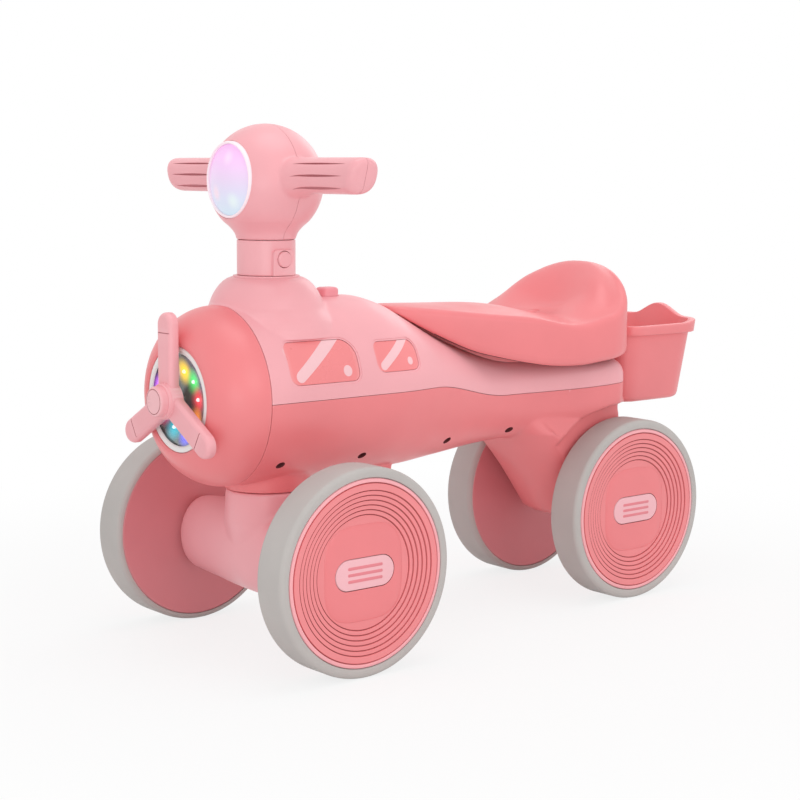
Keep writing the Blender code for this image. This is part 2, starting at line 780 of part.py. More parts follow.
def lower_shell():
    shell = fuselage_half("body_lower_shell", False, 0, NOSE_JOINT_Y + SEATED / 2, TAIL_Y,
                          -SEATED / 2)
    shell = join(shell, fork_solid("fork", 0, FORK_HALF, range(-90, 91, 30)))
    shell = join(shell, cylinder("collar", COLLAR_RADIUS, (0, 0, COLLAR_BOTTOM_Z),
                                 (0, 0, COLLAR_BOTTOM_Z + 14), coral_plastic(), 20))
    half, front, rear = battery_opening()
    shell = join(shell, block("battery_pad", (-half - 3, front - 3, BATTERY_PAD_Z),
                              (half + 3, rear + 3, BATTERY_PAD_Z + 16), coral_plastic()))
    for side in (-1, 1):
        shell = cut(shell, arch_block("arch", side, 0))
    hollow = fuselage_half("hollow", False, WALL, NOSE_JOINT_Y - 4, TAIL_Y - WALL, 3)
    for side in (-1, 1):
        hollow = cut(hollow, arch_block("arch", side, WALL))
    hollow = join(hollow, fork_solid("fork_hollow", WALL, FORK_HALF - WALL - 1, (-90, -35, 35, 90)))
    shell = cut(shell, hollow)
    shell = join(shell, cylinder("bush_seat", BUSH_SEAT_RADIUS, (0, 0, COLLAR_BOTTOM_Z + 2),
                                 (0, 0, BUSH_SEAT_Z), coral_plastic(), 16))
    shell = cut(shell, cylinder("stem_hole", BUSH_RADIUS + SEATED, (0, 0, COLLAR_BOTTOM_Z - 4),
                                (0, 0, BUSH_SEAT_Z + 4), coral_plastic(), 16))
    shell = cut(shell, block("battery_hole", (-half, front, BATTERY_PAD_Z - 4),
                             (half, rear, BATTERY_PAD_Z + 24), coral_plastic()))
    speaker_floor = through(BOTTOM_CURVE, SPEAKER_Y)
    seat_ring = cylinder("speaker_seat", SPEAKER_RADIUS + 1.5, (0, SPEAKER_Y, speaker_floor - 9),
                         (0, SPEAKER_Y, SPEAKER_SEAT_Z), coral_plastic(), 12)
    shell = join(shell, keep(seat_ring, inside_wall()))
    shell = cut(shell, cylinder("speaker_well", SPEAKER_RADIUS - 2.5,
                                (0, SPEAKER_Y, speaker_floor + WALL + 0.6),
                                (0, SPEAKER_Y, SPEAKER_SEAT_Z + 4), coral_plastic(), 12))
    for index in range(SPEAKER_SLOTS):
        y = SPEAKER_Y + (index - (SPEAKER_SLOTS - 1) / 2) * SPEAKER_SLOT_PITCH
        shell = cut(shell, block("slot", (-9, y - 1.1, speaker_floor - 6),
                                 (9, y + 1.1, speaker_floor + WALL + 1), coral_plastic()))
    for y, x in SCREW_RECESSES:
        top = through(SEAM_CURVE, y) - 8
        for side in (-1, 1):
            low = (side * x, y, TAIL_BOTTOM - 30)
            post = cylinder("post", SCREW_RECESS_RADIUS + 1.8, low, (side * x, y, top),
                            coral_plastic(), 8)
            shell = join(shell, keep(post, inside_wall()))
            shell = cut(shell, cylinder("recess", SCREW_RECESS_RADIUS, low,
                                        (side * x, y, top - SCREW_SEAT), coral_plastic(), 8))
    shell = join(shell, cylinder("axle_tube", AXLE_TUBE_RADIUS,
                                 (-FORK_HALF + 1, REAR_AXLE_Y, AXLE_Z),
                                 (FORK_HALF - 1, REAR_AXLE_Y, AXLE_Z), coral_plastic(), 12))
    shell = cut(shell, cylinder("axle_bore", AXLE_RADIUS + SEATED,
                                (-FORK_HALF - 4, REAR_AXLE_Y, AXLE_Z),
                                (FORK_HALF + 4, REAR_AXLE_Y, AXLE_Z), coral_plastic(), 12))
    low, high = hook_window()
    for side in (-1, 1):
        near, far = sorted((side * (HOOK_INNER_X - SEATED), side * (HOOK_INNER_X + HOOK_WIDTH
                                                                   + SEATED)))
        shell = cut(shell, block("hook_slot", (near, TAIL_Y - WALL - 3, low),
                                 (far, TAIL_Y + 3, high), coral_plastic()))
    return shell


# Nose and propeller

def nose_axis_turned(name, profile, finish, segments=NOSE_SEGMENTS):
    """Turned about the fuselage axis; distances are places along Y."""
    return turned(name, profile, (0, 0, FUSELAGE_AXIS_Z), (0, 1, 0), finish, segments)


def nose_cone():
    joint = NOSE_JOINT_Y - SEATED / 2
    depth = joint - NOSE_TIP_Y
    lip = NOSE_OPENING_RADIUS + 2.2
    outside = [(lip + (FUSELAGE_RADIUS - lip) * sin(radians(angle)) ** 1.3,
                joint - depth * cos(radians(angle))) for angle in (90, 70, 52, 37, 24, 12, 0)]
    profile = outside + [
        (NOSE_OPENING_RADIUS, NOSE_TIP_Y), (NOSE_OPENING_RADIUS, NOSE_LEDGE_Y),
        (NOSE_LEDGE_RADIUS, NOSE_LEDGE_Y), (NOSE_LEDGE_RADIUS, NOSE_LEDGE_Y + NOSE_LEDGE_THICKNESS)]
    for radius, place in reversed(outside[:-3]):
        profile.append((radius - WALL, min(place + WALL * 0.6, joint)))
    cone = nose_axis_turned("nose_cone", profile, coral_plastic())
    clearance = [(radius + (SEATED if radius > 0 else 0), height + SEATED)
                 for radius, height in cowl_profile(0)]
    return cut(cone, turned("cowl_notch", clearance, (0, 0, 0), (0, 0, 1), coral_plastic(),
                            COWL_SEGMENTS))


def nose_fittings():
    """Reflector, lens and bezel, stacked on the nose cone's ledge."""
    rim = NOSE_OPENING_RADIUS - SEATED
    hole = PIN_RADIUS + SEATED
    back = NOSE_LEDGE_Y - SEATED
    front = back - REFLECTOR_FLANGE
    floor = REFLECTOR_FLOOR_Y
    skin = 1.2
    reflector = nose_axis_turned("nose_reflector", [
        (rim, back), (rim, front), (NOSE_LEDGE_RADIUS - SEATED - skin, front),
        (REFLECTOR_FLOOR_RADIUS, floor - skin), (hole, floor - skin), (hole, floor),
        (REFLECTOR_FLOOR_RADIUS, floor), (NOSE_LEDGE_RADIUS - SEATED, back)],
        silvered_plastic(), NOSE_SEGMENTS)
    back = front - SEATED
    front = back - LENS_THICKNESS
    bulge = front - LENS_DOME
    lens = nose_axis_turned("nose_lens", [
        (rim, back), (rim, front), (BEZEL_INNER_RADIUS - SEATED, front),
        (BEZEL_INNER_RADIUS * 0.6, bulge), (hole, bulge), (hole, bulge + LENS_THICKNESS),
        (BEZEL_INNER_RADIUS * 0.6, bulge + LENS_THICKNESS),
        (BEZEL_INNER_RADIUS - SEATED - 1, back)], clear_plastic())
    back = front - SEATED
    bezel = nose_axis_turned("nose_bezel", [
        (rim, back), (rim, NOSE_TIP_Y - BEZEL_PROUD * 0.4), (rim - 1.2, NOSE_TIP_Y - BEZEL_PROUD),
        (BEZEL_INNER_RADIUS + 0.8, NOSE_TIP_Y - BEZEL_PROUD), (BEZEL_INNER_RADIUS, back)],
        white_plastic())
    board_front = floor + SEATED
    board_back = board_front + LIGHT_BOARD_THICKNESS
    board = nose_axis_turned("nose_light_board", [
        (LIGHT_BOARD_RADIUS, board_front), (LIGHT_BOARD_RADIUS, board_back),
        (hole, board_back), (hole, board_front)], circuit_board(), 16)
    board = cut(board, nose_axis_turned("dish_room", [
        (NOSE_LEDGE_RADIUS, NOSE_LEDGE_Y), (REFLECTOR_FLOOR_RADIUS + 1, floor + SEATED / 2),
        (0, floor + SEATED / 2), (0, NOSE_LEDGE_Y)], circuit_board(), 16))
    head = board_back + SEATED
    pin = nose_axis_turned("propeller_pin", [
        (0, PIN_TIP_Y), (PIN_RADIUS, PIN_TIP_Y), (PIN_RADIUS, head), (PIN_HEAD_RADIUS, head),
        (PIN_HEAD_RADIUS, head + PIN_HEAD_THICKNESS), (0, head + PIN_HEAD_THICKNESS)], steel(), 12)
    return [reflector, lens, bezel, board, pin]


def blade(index):
    """One blade: a rounded paddle whose front face is bevelled all round."""
    angle = radians(90 + 360 / BLADE_COUNT * index)
    along = Vector((cos(angle), 0, sin(angle)))
    across = Vector((-sin(angle), 0, cos(angle)))
    centre = Vector((0, 0, FUSELAGE_AXIS_Z))
    levels = ((0.8, PROPELLER_BACK_Y), (0, PROPELLER_BACK_Y - 0.8),
              (0, (PROPELLER_BACK_Y + PROPELLER_FACE_Y) / 2), (BLADE_BEVEL, PROPELLER_FACE_Y))
    rings = []
    for bevel, y in levels:
        half = BLADE_WIDTH / 2 - bevel
        straight = BLADE_TIP_RADIUS - BLADE_WIDTH / 2
        outline = [(2.0, -half)]
        for step in range(7):
            turn = -pi / 2 + pi * step / 6
            outline.append((straight + half * cos(turn), half * sin(turn)))
        outline.append((2.0, half))
        rings.append([centre + along * u + across * v + Vector((0, y, 0)) for u, v in outline])
    return loft("blade", rings, pink_plastic())


def propeller():
    spinner = nose_axis_turned("propeller", [
        (0, HUB_NOSE_Y), (HUB_NOSE_RADIUS - 1.6, HUB_NOSE_Y), (HUB_NOSE_RADIUS, HUB_NOSE_Y + 1.6),
        (HUB_NOSE_RADIUS, PROPELLER_FACE_Y - 1.8), (HUB_COLLAR_RADIUS - 1.2, PROPELLER_FACE_Y - 1.6),
        (HUB_COLLAR_RADIUS, PROPELLER_FACE_Y - 0.4), (HUB_COLLAR_RADIUS, PROPELLER_BACK_Y + 0.5),
        (0, PROPELLER_BACK_Y + 0.5)], pink_plastic(), 18)
    for index in range(BLADE_COUNT):
        spinner = join(spinner, blade(index))
    bore = cylinder("bore", PIN_RADIUS + RUNNING, (0, PROPELLER_BACK_Y + 5, FUSELAGE_AXIS_Z),
                    (0, PIN_TIP_Y - RUNNING, FUSELAGE_AXIS_Z), pink_plastic(), 12)
    return cut(spinner, bore)


# Saddle and bucket

SEAT_RUN = SEAT_WIDE_Y - SEAT_TIP_Y                   # from the tip to the widest place
SEAT_WIDTH_CURVE = (
    (SEAT_TIP_Y, 0.0), (SEAT_TIP_Y + 0.05 * SEAT_RUN, 17.0),
    (SEAT_TIP_Y + 0.21 * SEAT_RUN, 33.0), (SEAT_TIP_Y + 0.54 * SEAT_RUN, 56.0),
    (SEAT_TIP_Y + 0.81 * SEAT_RUN, SEAT_HALF - 5.0), (SEAT_WIDE_Y, SEAT_HALF))
SEAT_LINE = (
    (SEAT_TIP_Y, SEAT_NOSE_Z), (SEAT_TIP_Y + 0.26 * SEAT_RUN, SEAT_MID_Z + 1),
    (SEAT_TIP_Y + 0.62 * SEAT_RUN, SEAT_MID_Z - 2), (SEAT_DISH_Y, SEAT_DISH_Z),
    (SEAT_REAR_Y, SEAT_REAR_Z))
SEAT_CROWN = (
    (SEAT_TIP_Y, 1.0), (SEAT_TIP_Y + 0.26 * SEAT_RUN, 5.0), (SEAT_TIP_Y + 0.54 * SEAT_RUN, 9.0),
    (SEAT_TIP_Y + 0.73 * SEAT_RUN, 9.0), (SEAT_DISH_Y + 15, 2.0), (SEAT_REAR_Y, 0.0))
SEAT_EDGE_CURVE = (
    (SEAT_TIP_Y, 250.0), (SEAT_TIP_Y + 0.055 * SEAT_RUN, 243.5),
    (SEAT_TIP_Y + 0.14 * SEAT_RUN, 234.0), (SEAT_TIP_Y + 0.265 * SEAT_RUN, 222.0),
    (SEAT_TIP_Y + 0.37 * SEAT_RUN, 213.5), (SEAT_TIP_Y + 0.47 * SEAT_RUN, 208.5),
    (SEAT_TIP_Y + 0.605 * SEAT_RUN, 203.0), (SEAT_TIP_Y + 0.73 * SEAT_RUN, SEAT_SKIRT_Z + 0.5),
    (SEAT_DISH_Y - 12, SEAT_SKIRT_Z), (SEAT_WIDE_Y, SEAT_SKIRT_Z + 2.5),
    (SEAT_REAR_Y, SEAT_SKIRT_Z + 7))


def seat_outline():
    """Plan of the saddle: a narrow tongue in front, broad and rounded behind."""
    half = []
    for share in (0.0, 0.03, 0.09, 0.19, 0.33, 0.48, 0.64, 0.8):
        y = SEAT_TIP_Y + (SEAT_WIDE_Y - SEAT_TIP_Y) * share
        half.append((through(SEAT_WIDTH_CURVE, y), y))
    for angle in (90, 68, 51, 39, 27, 13, 0):
        half.append((SEAT_HALF * powered(sin(radians(angle)), SEAT_CORNER_POWER),
                     SEAT_WIDE_Y + (SEAT_REAR_Y - SEAT_WIDE_Y)
                     * powered(cos(radians(angle)), SEAT_CORNER_POWER)))
    return half + [(-x, y) for x, y in reversed(half[1:-1])]


def seat_top(x, y):
    """Height of the saddle's upper face: flat tongue, dish, and a cantle round the back."""
    width = max(through(SEAT_WIDTH_CURVE, min(y, SEAT_WIDE_Y)), 1.0)
    height = through(SEAT_LINE, y) - through(SEAT_CROWN, y) * min(abs(x) / width, 1.0) ** 2
    crest = SEAT_CANTLE * max(1 - (abs(x) / SEAT_CREST_HALF) ** 2.4, 0.0)
    climb = hypot((y - SEAT_DISH_Y) / SEAT_DISH_DEPTH, x / SEAT_CREST_HALF)
    behind = eased((y - SEAT_DISH_Y + 12) / 50)
    return height + crest * eased((climb - 0.16) / 0.84) * behind


def seat_point(place, share, inset=0.0):
    """A point of the plan, drawn in towards the saddle's spine."""
    x, y = place
    spine = min(max(y, SEAT_TIP_Y + 20), SEAT_REAR_Y - 40)
    reach = hypot(x, y - spine)
    share = share * max(reach - inset, 0.0) / max(reach, 1e-6)
    return x * share, spine + (y - spine) * share


def seat_edge(x, y):
    return max(through(SEAT_EDGE_CURVE, y), fuselage_roof(x, y) + RUNNING)


def seat():
    outline = seat_outline()
    rings = []
    for share in (0.0, 0.36, 0.66, 0.87):
        places = [seat_point(place, share, SEAT_SHOULDER) for place in outline]
        rings.append([Vector((x, y, seat_top(x, y))) for x, y in places])
    crest = [seat_point(place, 1.0, SEAT_SHOULDER) for place in outline]
    rings.append([Vector((x, y, seat_top(x, y))) for x, y in crest])
    for inset, drop in ((2.2, 1.6), (0.2, 6.0)):
        ring = []
        for place, (x0, y0) in zip(outline, crest):
            x, y = seat_point(place, 1.0, inset)
            top = seat_top(x0, y0)
            room = max(top - seat_edge(x, y), 0.6)
            ring.append(Vector((x, y, top - min(drop, room * 0.3 + 0.2))))
        rings.append(ring)
    for inset, lift in ((0.0, SEAT_ROLL), (SEAT_ROLL * 0.25, SEAT_ROLL * 0.25),
                        (SEAT_ROLL * 0.8, 0.0)):
        ring = []
        for place in outline:
            x0, y0 = seat_point(place, 1.0)
            low = seat_edge(x0, y0)
            scale = min(max(seat_top(x0, y0) - low, 0.6) / 30.0, 1.0)
            x, y = seat_point(place, 1.0, inset * scale)
            ring.append(Vector((x, y, max(low + lift * scale, fuselage_roof(x, y) + RUNNING))))
        rings.append(ring)
    for share, thin in ((0.94, None), (0.86, SEAT_WALL), (0.45, SEAT_WALL), (0.0, SEAT_WALL)):
        ring = []
        for place in outline:
            x, y = seat_point(place, share, SEAT_SHOULDER if thin else SEAT_WALL)
            top = seat_top(x, y)
            level = top - thin if thin else seat_edge(x, y)
            low = fuselage_roof(x, y) + RUNNING
            ring.append(Vector((x, y, min(max(level, low), top - 0.25))))
        rings.append(ring)
    shape = loft("seat", rings, coral_plastic(), closed_ends=False)
    underside = SEAT_DISH_Z - SEAT_WALL / 2
    roof = fuselage_roof(0, SEAT_DISH_Y) + SEATED
    shape = join(shape, cylinder("boss", SEAT_BOSS_RADIUS, (0, SEAT_DISH_Y, roof),
                                 (0, SEAT_DISH_Y, underside), coral_plastic(), 12))
    shape = cut(shape, cylinder("screw_hole", SEAT_SCREW_RADIUS + SEATED, (0, SEAT_DISH_Y, roof - 5),
                                (0, SEAT_DISH_Y, SEAT_DISH_Z + 9), coral_plastic(), 8))
    return cut(shape, cylinder("head_hole", SEAT_SCREW_HEAD + SEATED,
                               (0, SEAT_DISH_Y, SEAT_DISH_Z - 4.0),
                               (0, SEAT_DISH_Y, SEAT_DISH_Z + 9), coral_plastic(), 12))


def seat_screw():
    top = SEAT_DISH_Z - 1.0
    foot = fuselage_roof(0, SEAT_DISH_Y) - SEAT_SCREW_BITE + 2
    return turned("seat_screw", [
        (0, foot), (SEAT_SCREW_RADIUS, foot + 1.5), (SEAT_SCREW_RADIUS, SEAT_DISH_Z - 4 + SEATED),
        (SEAT_SCREW_HEAD, SEAT_DISH_Z - 4 + SEATED), (SEAT_SCREW_HEAD, top - 0.6),
        (SEAT_SCREW_HEAD - 0.8, top), (0, top)], (0, SEAT_DISH_Y, 0), (0, 0, 1), steel(), 10)


def bucket_plan(share, inset, outward):
    """Rounded plan of the bucket; share runs from the floor (0) to the rim (1)."""
    half = BUCKET_FLOOR_HALF + (BUCKET_HALF - BUCKET_FLOOR_HALF) * share - inset + outward
    rear = BUCKET_FLOOR_REAR_Y + (BUCKET_REAR_Y - BUCKET_FLOOR_REAR_Y) * share - inset + outward
    front = BUCKET_FRONT_Y + inset
    corners = [(-half, front), (half, front), (half, rear), (-half, rear)]
    radii = [max(BUCKET_FRONT_CORNER - inset, 1.0)] * 2 + [BUCKET_REAR_CORNER - inset + outward] * 2
    points = rounded_outline(corners, radii, 3)
    right, left = points[11], points[12]
    wall = [right.lerp(left, step / 8) for step in range(1, 8)]
    return points[:12] + wall + points[12:]


def rim_height(point):
    """The rim: level at the sides, with a raised wave in the rear wall."""
    behind = eased((point.y - BUCKET_REAR_Y + 30) / 26)
    wave = cos(pi / 2 * min(abs(point.x) / BUCKET_WAVE_HALF, 1.0)) ** 2
    return BUCKET_RIM_Z + behind * (3.0 + (BUCKET_WAVE - 3.0) * wave)


def bucket():
    wall_top = BUCKET_RIM_Z - BUCKET_LIP_DEPTH
    levels = (
        (0.0, 3.0, 0.0, lambda p: BUCKET_FLOOR_Z), (0.05, 0.0, 0.0, lambda p: BUCKET_FLOOR_Z + 3),
        (0.88, 0.0, 0.0, lambda p: wall_top), (0.88, 0.0, BUCKET_LIP_REACH, lambda p: wall_top + 0.4),
        (1.0, 0.0, BUCKET_LIP_REACH, lambda p: rim_height(p) - 1.2),
        (1.0, 0.0, BUCKET_LIP_REACH - 1.0, lambda p: rim_height(p)),
        (1.0, BUCKET_WALL, 0.0, lambda p: rim_height(p)),
        (0.05, BUCKET_WALL, 0.0, lambda p: BUCKET_FLOOR_Z + BUCKET_WALL + 1.4),
        (0.0, BUCKET_WALL + 2, 0.0, lambda p: BUCKET_FLOOR_Z + BUCKET_WALL))
    rings = []
    for share, inset, outward, height in levels:
        plan = bucket_plan(share, inset, outward)
        rings.append([Vector((point.x, point.y, height(point))) for point in plan])
    shape = loft("bucket", rings, coral_plastic())
    hook_back = TAIL_Y - WALL - SEATED
    for side in (-1, 1):
        near, far = sorted((side * HOOK_INNER_X, side * (HOOK_INNER_X + HOOK_WIDTH)))
        arm = block("arm", (near, hook_back - 3.0, HOOK_TOP_Z - HOOK_THICKNESS),
                    (far, BUCKET_FRONT_Y + BUCKET_WALL / 2, HOOK_TOP_Z), coral_plastic())
        tongue = block("tongue", (near, hook_back - 3.0, HOOK_TOP_Z - HOOK_THICKNESS - HOOK_DROP),
                       (far, hook_back, HOOK_TOP_Z - 1), coral_plastic())
        shape = join(shape, join(arm, tongue))
    return shape


# Steering: housing, column, neck and handlebar

def front_axle_housing():
    rings = []
    stand = FRONT_INNER_FACE - HUB_STANDOFF - RUNNING
    sections = ((stand, 0.0), (stand - 3, 0.12), (stand * 0.8, 0.3), (stand * 0.55, 0.55),
                (stand * 0.28, 0.85), (0, 1.0))
    sections = sections + tuple((-x, share) for x, share in reversed(sections[:-1]))
    for x, share in sections:
        height = BEAM_END_HALF_HEIGHT + (BEAM_MID_HALF_HEIGHT - BEAM_END_HALF_HEIGHT) * share
        depth = BEAM_END_HALF_DEPTH + (BEAM_MID_HALF_DEPTH - BEAM_END_HALF_DEPTH) * share
        if abs(x) == stand:
            height -= 2.0
            depth -= 2.0
        rings.append([Vector((x, depth * cos(2 * pi * step / 14),
                              BEAM_CENTRE_Z + 2 * share + height * sin(2 * pi * step / 14)))
                      for step in range(14)])
    housing = loft("front_axle_housing", rings, pink_plastic())
    post = turned("post", [
        (0, BEAM_CENTRE_Z), (POST_RADIUS - 3, BEAM_CENTRE_Z), (POST_RADIUS + 1.2, BEAM_CENTRE_Z + 24),
        (POST_RADIUS, COLLAR_BOTTOM_Z - SEATED), (0, COLLAR_BOTTOM_Z - SEATED)],
        (0, 0, 0), (0, 0, 1), pink_plastic(), 16)
    housing = join(housing, post)
    housing = cut(housing, cylinder("socket", STEM_RADIUS + SEATED, (0, 0, STEM_SOCKET_FLOOR_Z),
                                    (0, 0, COLLAR_BOTTOM_Z + 5), pink_plastic(), 16))
    return cut(housing, cylinder("axle_bore", AXLE_RADIUS + SEATED,
                                 (-FRONT_INNER_FACE - 5, 0, AXLE_Z),
                                 (FRONT_INNER_FACE + 5, 0, AXLE_Z), pink_plastic(), 12))


def steering_column():
    stem = turned("steering_stem", [
        (STEM_RADIUS, STEM_SOCKET_FLOOR_Z + SEATED), (STEM_RADIUS, STEM_TOP_Z),
        (STEM_BORE, STEM_TOP_Z), (STEM_BORE, STEM_SOCKET_FLOOR_Z + SEATED)],
        (0, 0, 0), (0, 0, 1), steel(), 16)
    neck = turned("steering_neck", [
        (NECK_RADIUS, COWL_TOP_Z + SEATED), (NECK_RADIUS, NECK_TOP_Z - SEATED),
        (NECK_SPIGOT_RADIUS, NECK_TOP_Z - SEATED),
        (NECK_SPIGOT_RADIUS, NECK_TOP_Z + NECK_SPIGOT_LENGTH),
        (STEM_RADIUS + SEATED, NECK_TOP_Z + NECK_SPIGOT_LENGTH),
        (STEM_RADIUS + SEATED, COWL_TOP_Z + SEATED)], (0, 0, 0), (0, 0, 1), pink_plastic(), 20)
    plate_x = NECK_RADIUS + SNAP_PLATE_PROUD
    plate = block("plate", (STEM_RADIUS + 3, -SNAP_PLATE_HALF, COWL_TOP_Z + SEATED),
                  (plate_x, SNAP_PLATE_HALF, SNAP_PLATE_TOP_Z), pink_plastic())
    neck = join(neck, plate)
    for piece in (stem, neck):
        cut(piece, cylinder("snap_hole", SNAP_RADIUS + RUNNING, (4, 0, SNAP_Z),
                            (plate_x + 5, 0, SNAP_Z), pink_plastic(), 12))
    return [stem, neck]


def snap_button():
    plate_x = NECK_RADIUS + SNAP_PLATE_PROUD
    back = sqrt(STEM_BORE ** 2 - SNAP_FLANGE_RADIUS ** 2) - RUNNING
    tip = plate_x + SNAP_PROUD
    return turned("snap_button", [
        (0, back - SNAP_FLANGE_THICKNESS), (SNAP_FLANGE_RADIUS, back - SNAP_FLANGE_THICKNESS),
        (SNAP_FLANGE_RADIUS, back), (SNAP_RADIUS, back), (SNAP_RADIUS, tip - 0.9),
        (SNAP_RADIUS - 0.9, tip), (0, tip)], (0, 0, SNAP_Z), (1, 0, 0), pink_plastic(), 12)


def head_profile(inset):
    radius = HEAD_RADIUS - inset
    neck = NECK_RADIUS + 0.4 if inset == 0 else NECK_SPIGOT_RADIUS + SEATED
    profile = [(0, HEAD_Z + radius)]
    for angle in (74, 57, 40, 22, 5, -12, -28, -43):
        profile.append((radius * cos(radians(angle)), HEAD_Z + radius * sin(radians(angle))))
    if inset == 0:
        profile.append((NECK_RADIUS + 4.6, NECK_TOP_Z + 8.4))
        profile.append((NECK_RADIUS + 1.8, NECK_TOP_Z + 4.0))
        profile.append((neck, NECK_TOP_Z))
        profile.append((0, NECK_TOP_Z))
    else:
        profile.append((neck, NECK_TOP_Z + NECK_SPIGOT_LENGTH + SEATED))
        profile.append((neck, NECK_TOP_Z - 3))
        profile.append((0, NECK_TOP_Z - 3))
    return profile


def grip_section(x, side, inset, flare, groove, leaning):
    """One section of a grip: a soft rectangle with three grooves in its front face."""
    top = GRIP_TOP_Z - inset
    bottom = GRIP_BOTTOM_Z - GRIP_ROOT_DROP * flare + inset
    depth = GRIP_DEPTH + GRIP_ROOT_FLARE * flare - inset
    middle = (top + bottom) / 2
    height = (top - bottom) / 2
    stations = []
    for angle in (-36, 0, 36):
        stations += [(angle - 7, 0.0), (angle, groove), (angle + 7, 0.0)]
    stations += [(angle, 0.0) for angle in (62, 90, 118, 180, 242, 270, 298)]
    ring = []
    for angle, dip in stations:
        turn = radians(angle)
        y = dip - depth * powered(cos(turn), 2.8)
        z = middle + height * powered(sin(turn), 2.8)
        lean = GRIP_END_LEAN * (z - GRIP_BOTTOM_Z) / (GRIP_TOP_Z - GRIP_BOTTOM_Z)
        ring.append(Vector((side * (x + lean * leaning), y, z)))
    return ring


def grip(side):
    """One hand grip, from inside the head to its leaning end."""
    end = GRIP_FOOT_X
    rings = [grip_section(GRIP_ROOT_X, side, 0, 1.0, 0, 0), grip_section(42, side, 0, 0.6, 0, 0),
             grip_section(GRIP_GROOVE_START + 10, side, 0, 0, GRIP_GROOVE_DEPTH, 0),
             grip_section(GRIP_GROOVE_STOP - 16, side, 0, 0, GRIP_GROOVE_DEPTH, 0.4),
             grip_section(end - GRIP_END_ROUND, side, 0, 0, 0, 1),
             grip_section(end - GRIP_END_ROUND * 0.3, side, GRIP_END_ROUND * 0.3, 0, 0, 1),
             grip_section(end, side, GRIP_END_ROUND, 0, 0, 1)]
    return loft("grip", rings, pink_plastic())


def head_shells():
    """Head and grips in one moulding, parted by an upright plane through the handlebar."""
    shells = []
    for name, side in (("handlebar_front_shell", -1), ("handlebar_rear_shell", 1)):
        shell = turned(name, head_profile(0), (0, 0, 0), (0, 0, 1), pink_plastic(), HEAD_SEGMENTS)
        shell = join(join(shell, grip(1)), grip(-1))
        shell = cut(shell, turned("hollow", head_profile(WALL), (0, 0, 0), (0, 0, 1),
                                  pink_plastic(), HEAD_SEGMENTS))
        reach = GRIP_FOOT_X - 8
        shell = cut(shell, cylinder("tube_hole", BAR_TUBE_RADIUS + SEATED, (-reach, 0, BAR_Z),
                                    (reach, 0, BAR_Z), pink_plastic(), 16))
        if side < 0:
            shell = cut(shell, cylinder("lamp_hole", LAMP_RADIUS + SEATED,
                                        (0, LAMP_Y + LAMP_RING_DEPTH, LAMP_Z),
                                        (0, -HEAD_RADIUS - 5, LAMP_Z), pink_plastic(), 24))
        reach = GRIP_FOOT_X + 30
        edge = HEAD_SPLIT_Y + side * SEATED / 2
        low, high = sorted((edge, edge - side * reach))
        shells.append(cut(shell, block("other_half", (-reach, low, HEAD_Z - reach),
                                       (reach, high, HEAD_Z + reach), pink_plastic())))
    return shells


def lamp_fittings():
    rim = LAMP_RADIUS
    inner = LAMP_RADIUS - LAMP_RING_WIDTH
    back = LAMP_Y + LAMP_RING_DEPTH - 1
    centre = (0, 0, LAMP_Z)
    ring = turned("headlight_ring", [
        (rim, LAMP_Y - 0.8), (rim, back), (inner, back), (inner, LAMP_Y - 1.6),
        (rim - 0.8, LAMP_Y - 1.6)], centre, (0, 1, 0), white_plastic(), 24)
    edge = inner - SEATED
    lens = []
    for share in (0.0, 0.4, 0.75, 1.0):
        lens.append((edge * share, LAMP_Y - LAMP_DOME * (1 - share ** 2)))
    lens.append((edge, LAMP_Y + LAMP_THICKNESS))
    for share in (0.7, 0.0):
        lens.append((edge * share, LAMP_Y - LAMP_DOME * (1 - share ** 2) + LAMP_THICKNESS))
    lens = turned("headlight_lens", lens, centre, (0, 1, 0), frosted_plastic(), 24)
    board = turned("headlight_board", [
        (0, back - LIGHT_BOARD_THICKNESS), (edge, back - LIGHT_BOARD_THICKNESS), (edge, back),
        (0, back)], centre, (0, 1, 0), circuit_board(), 16)
    return [ring, lens, board]


# Wheels

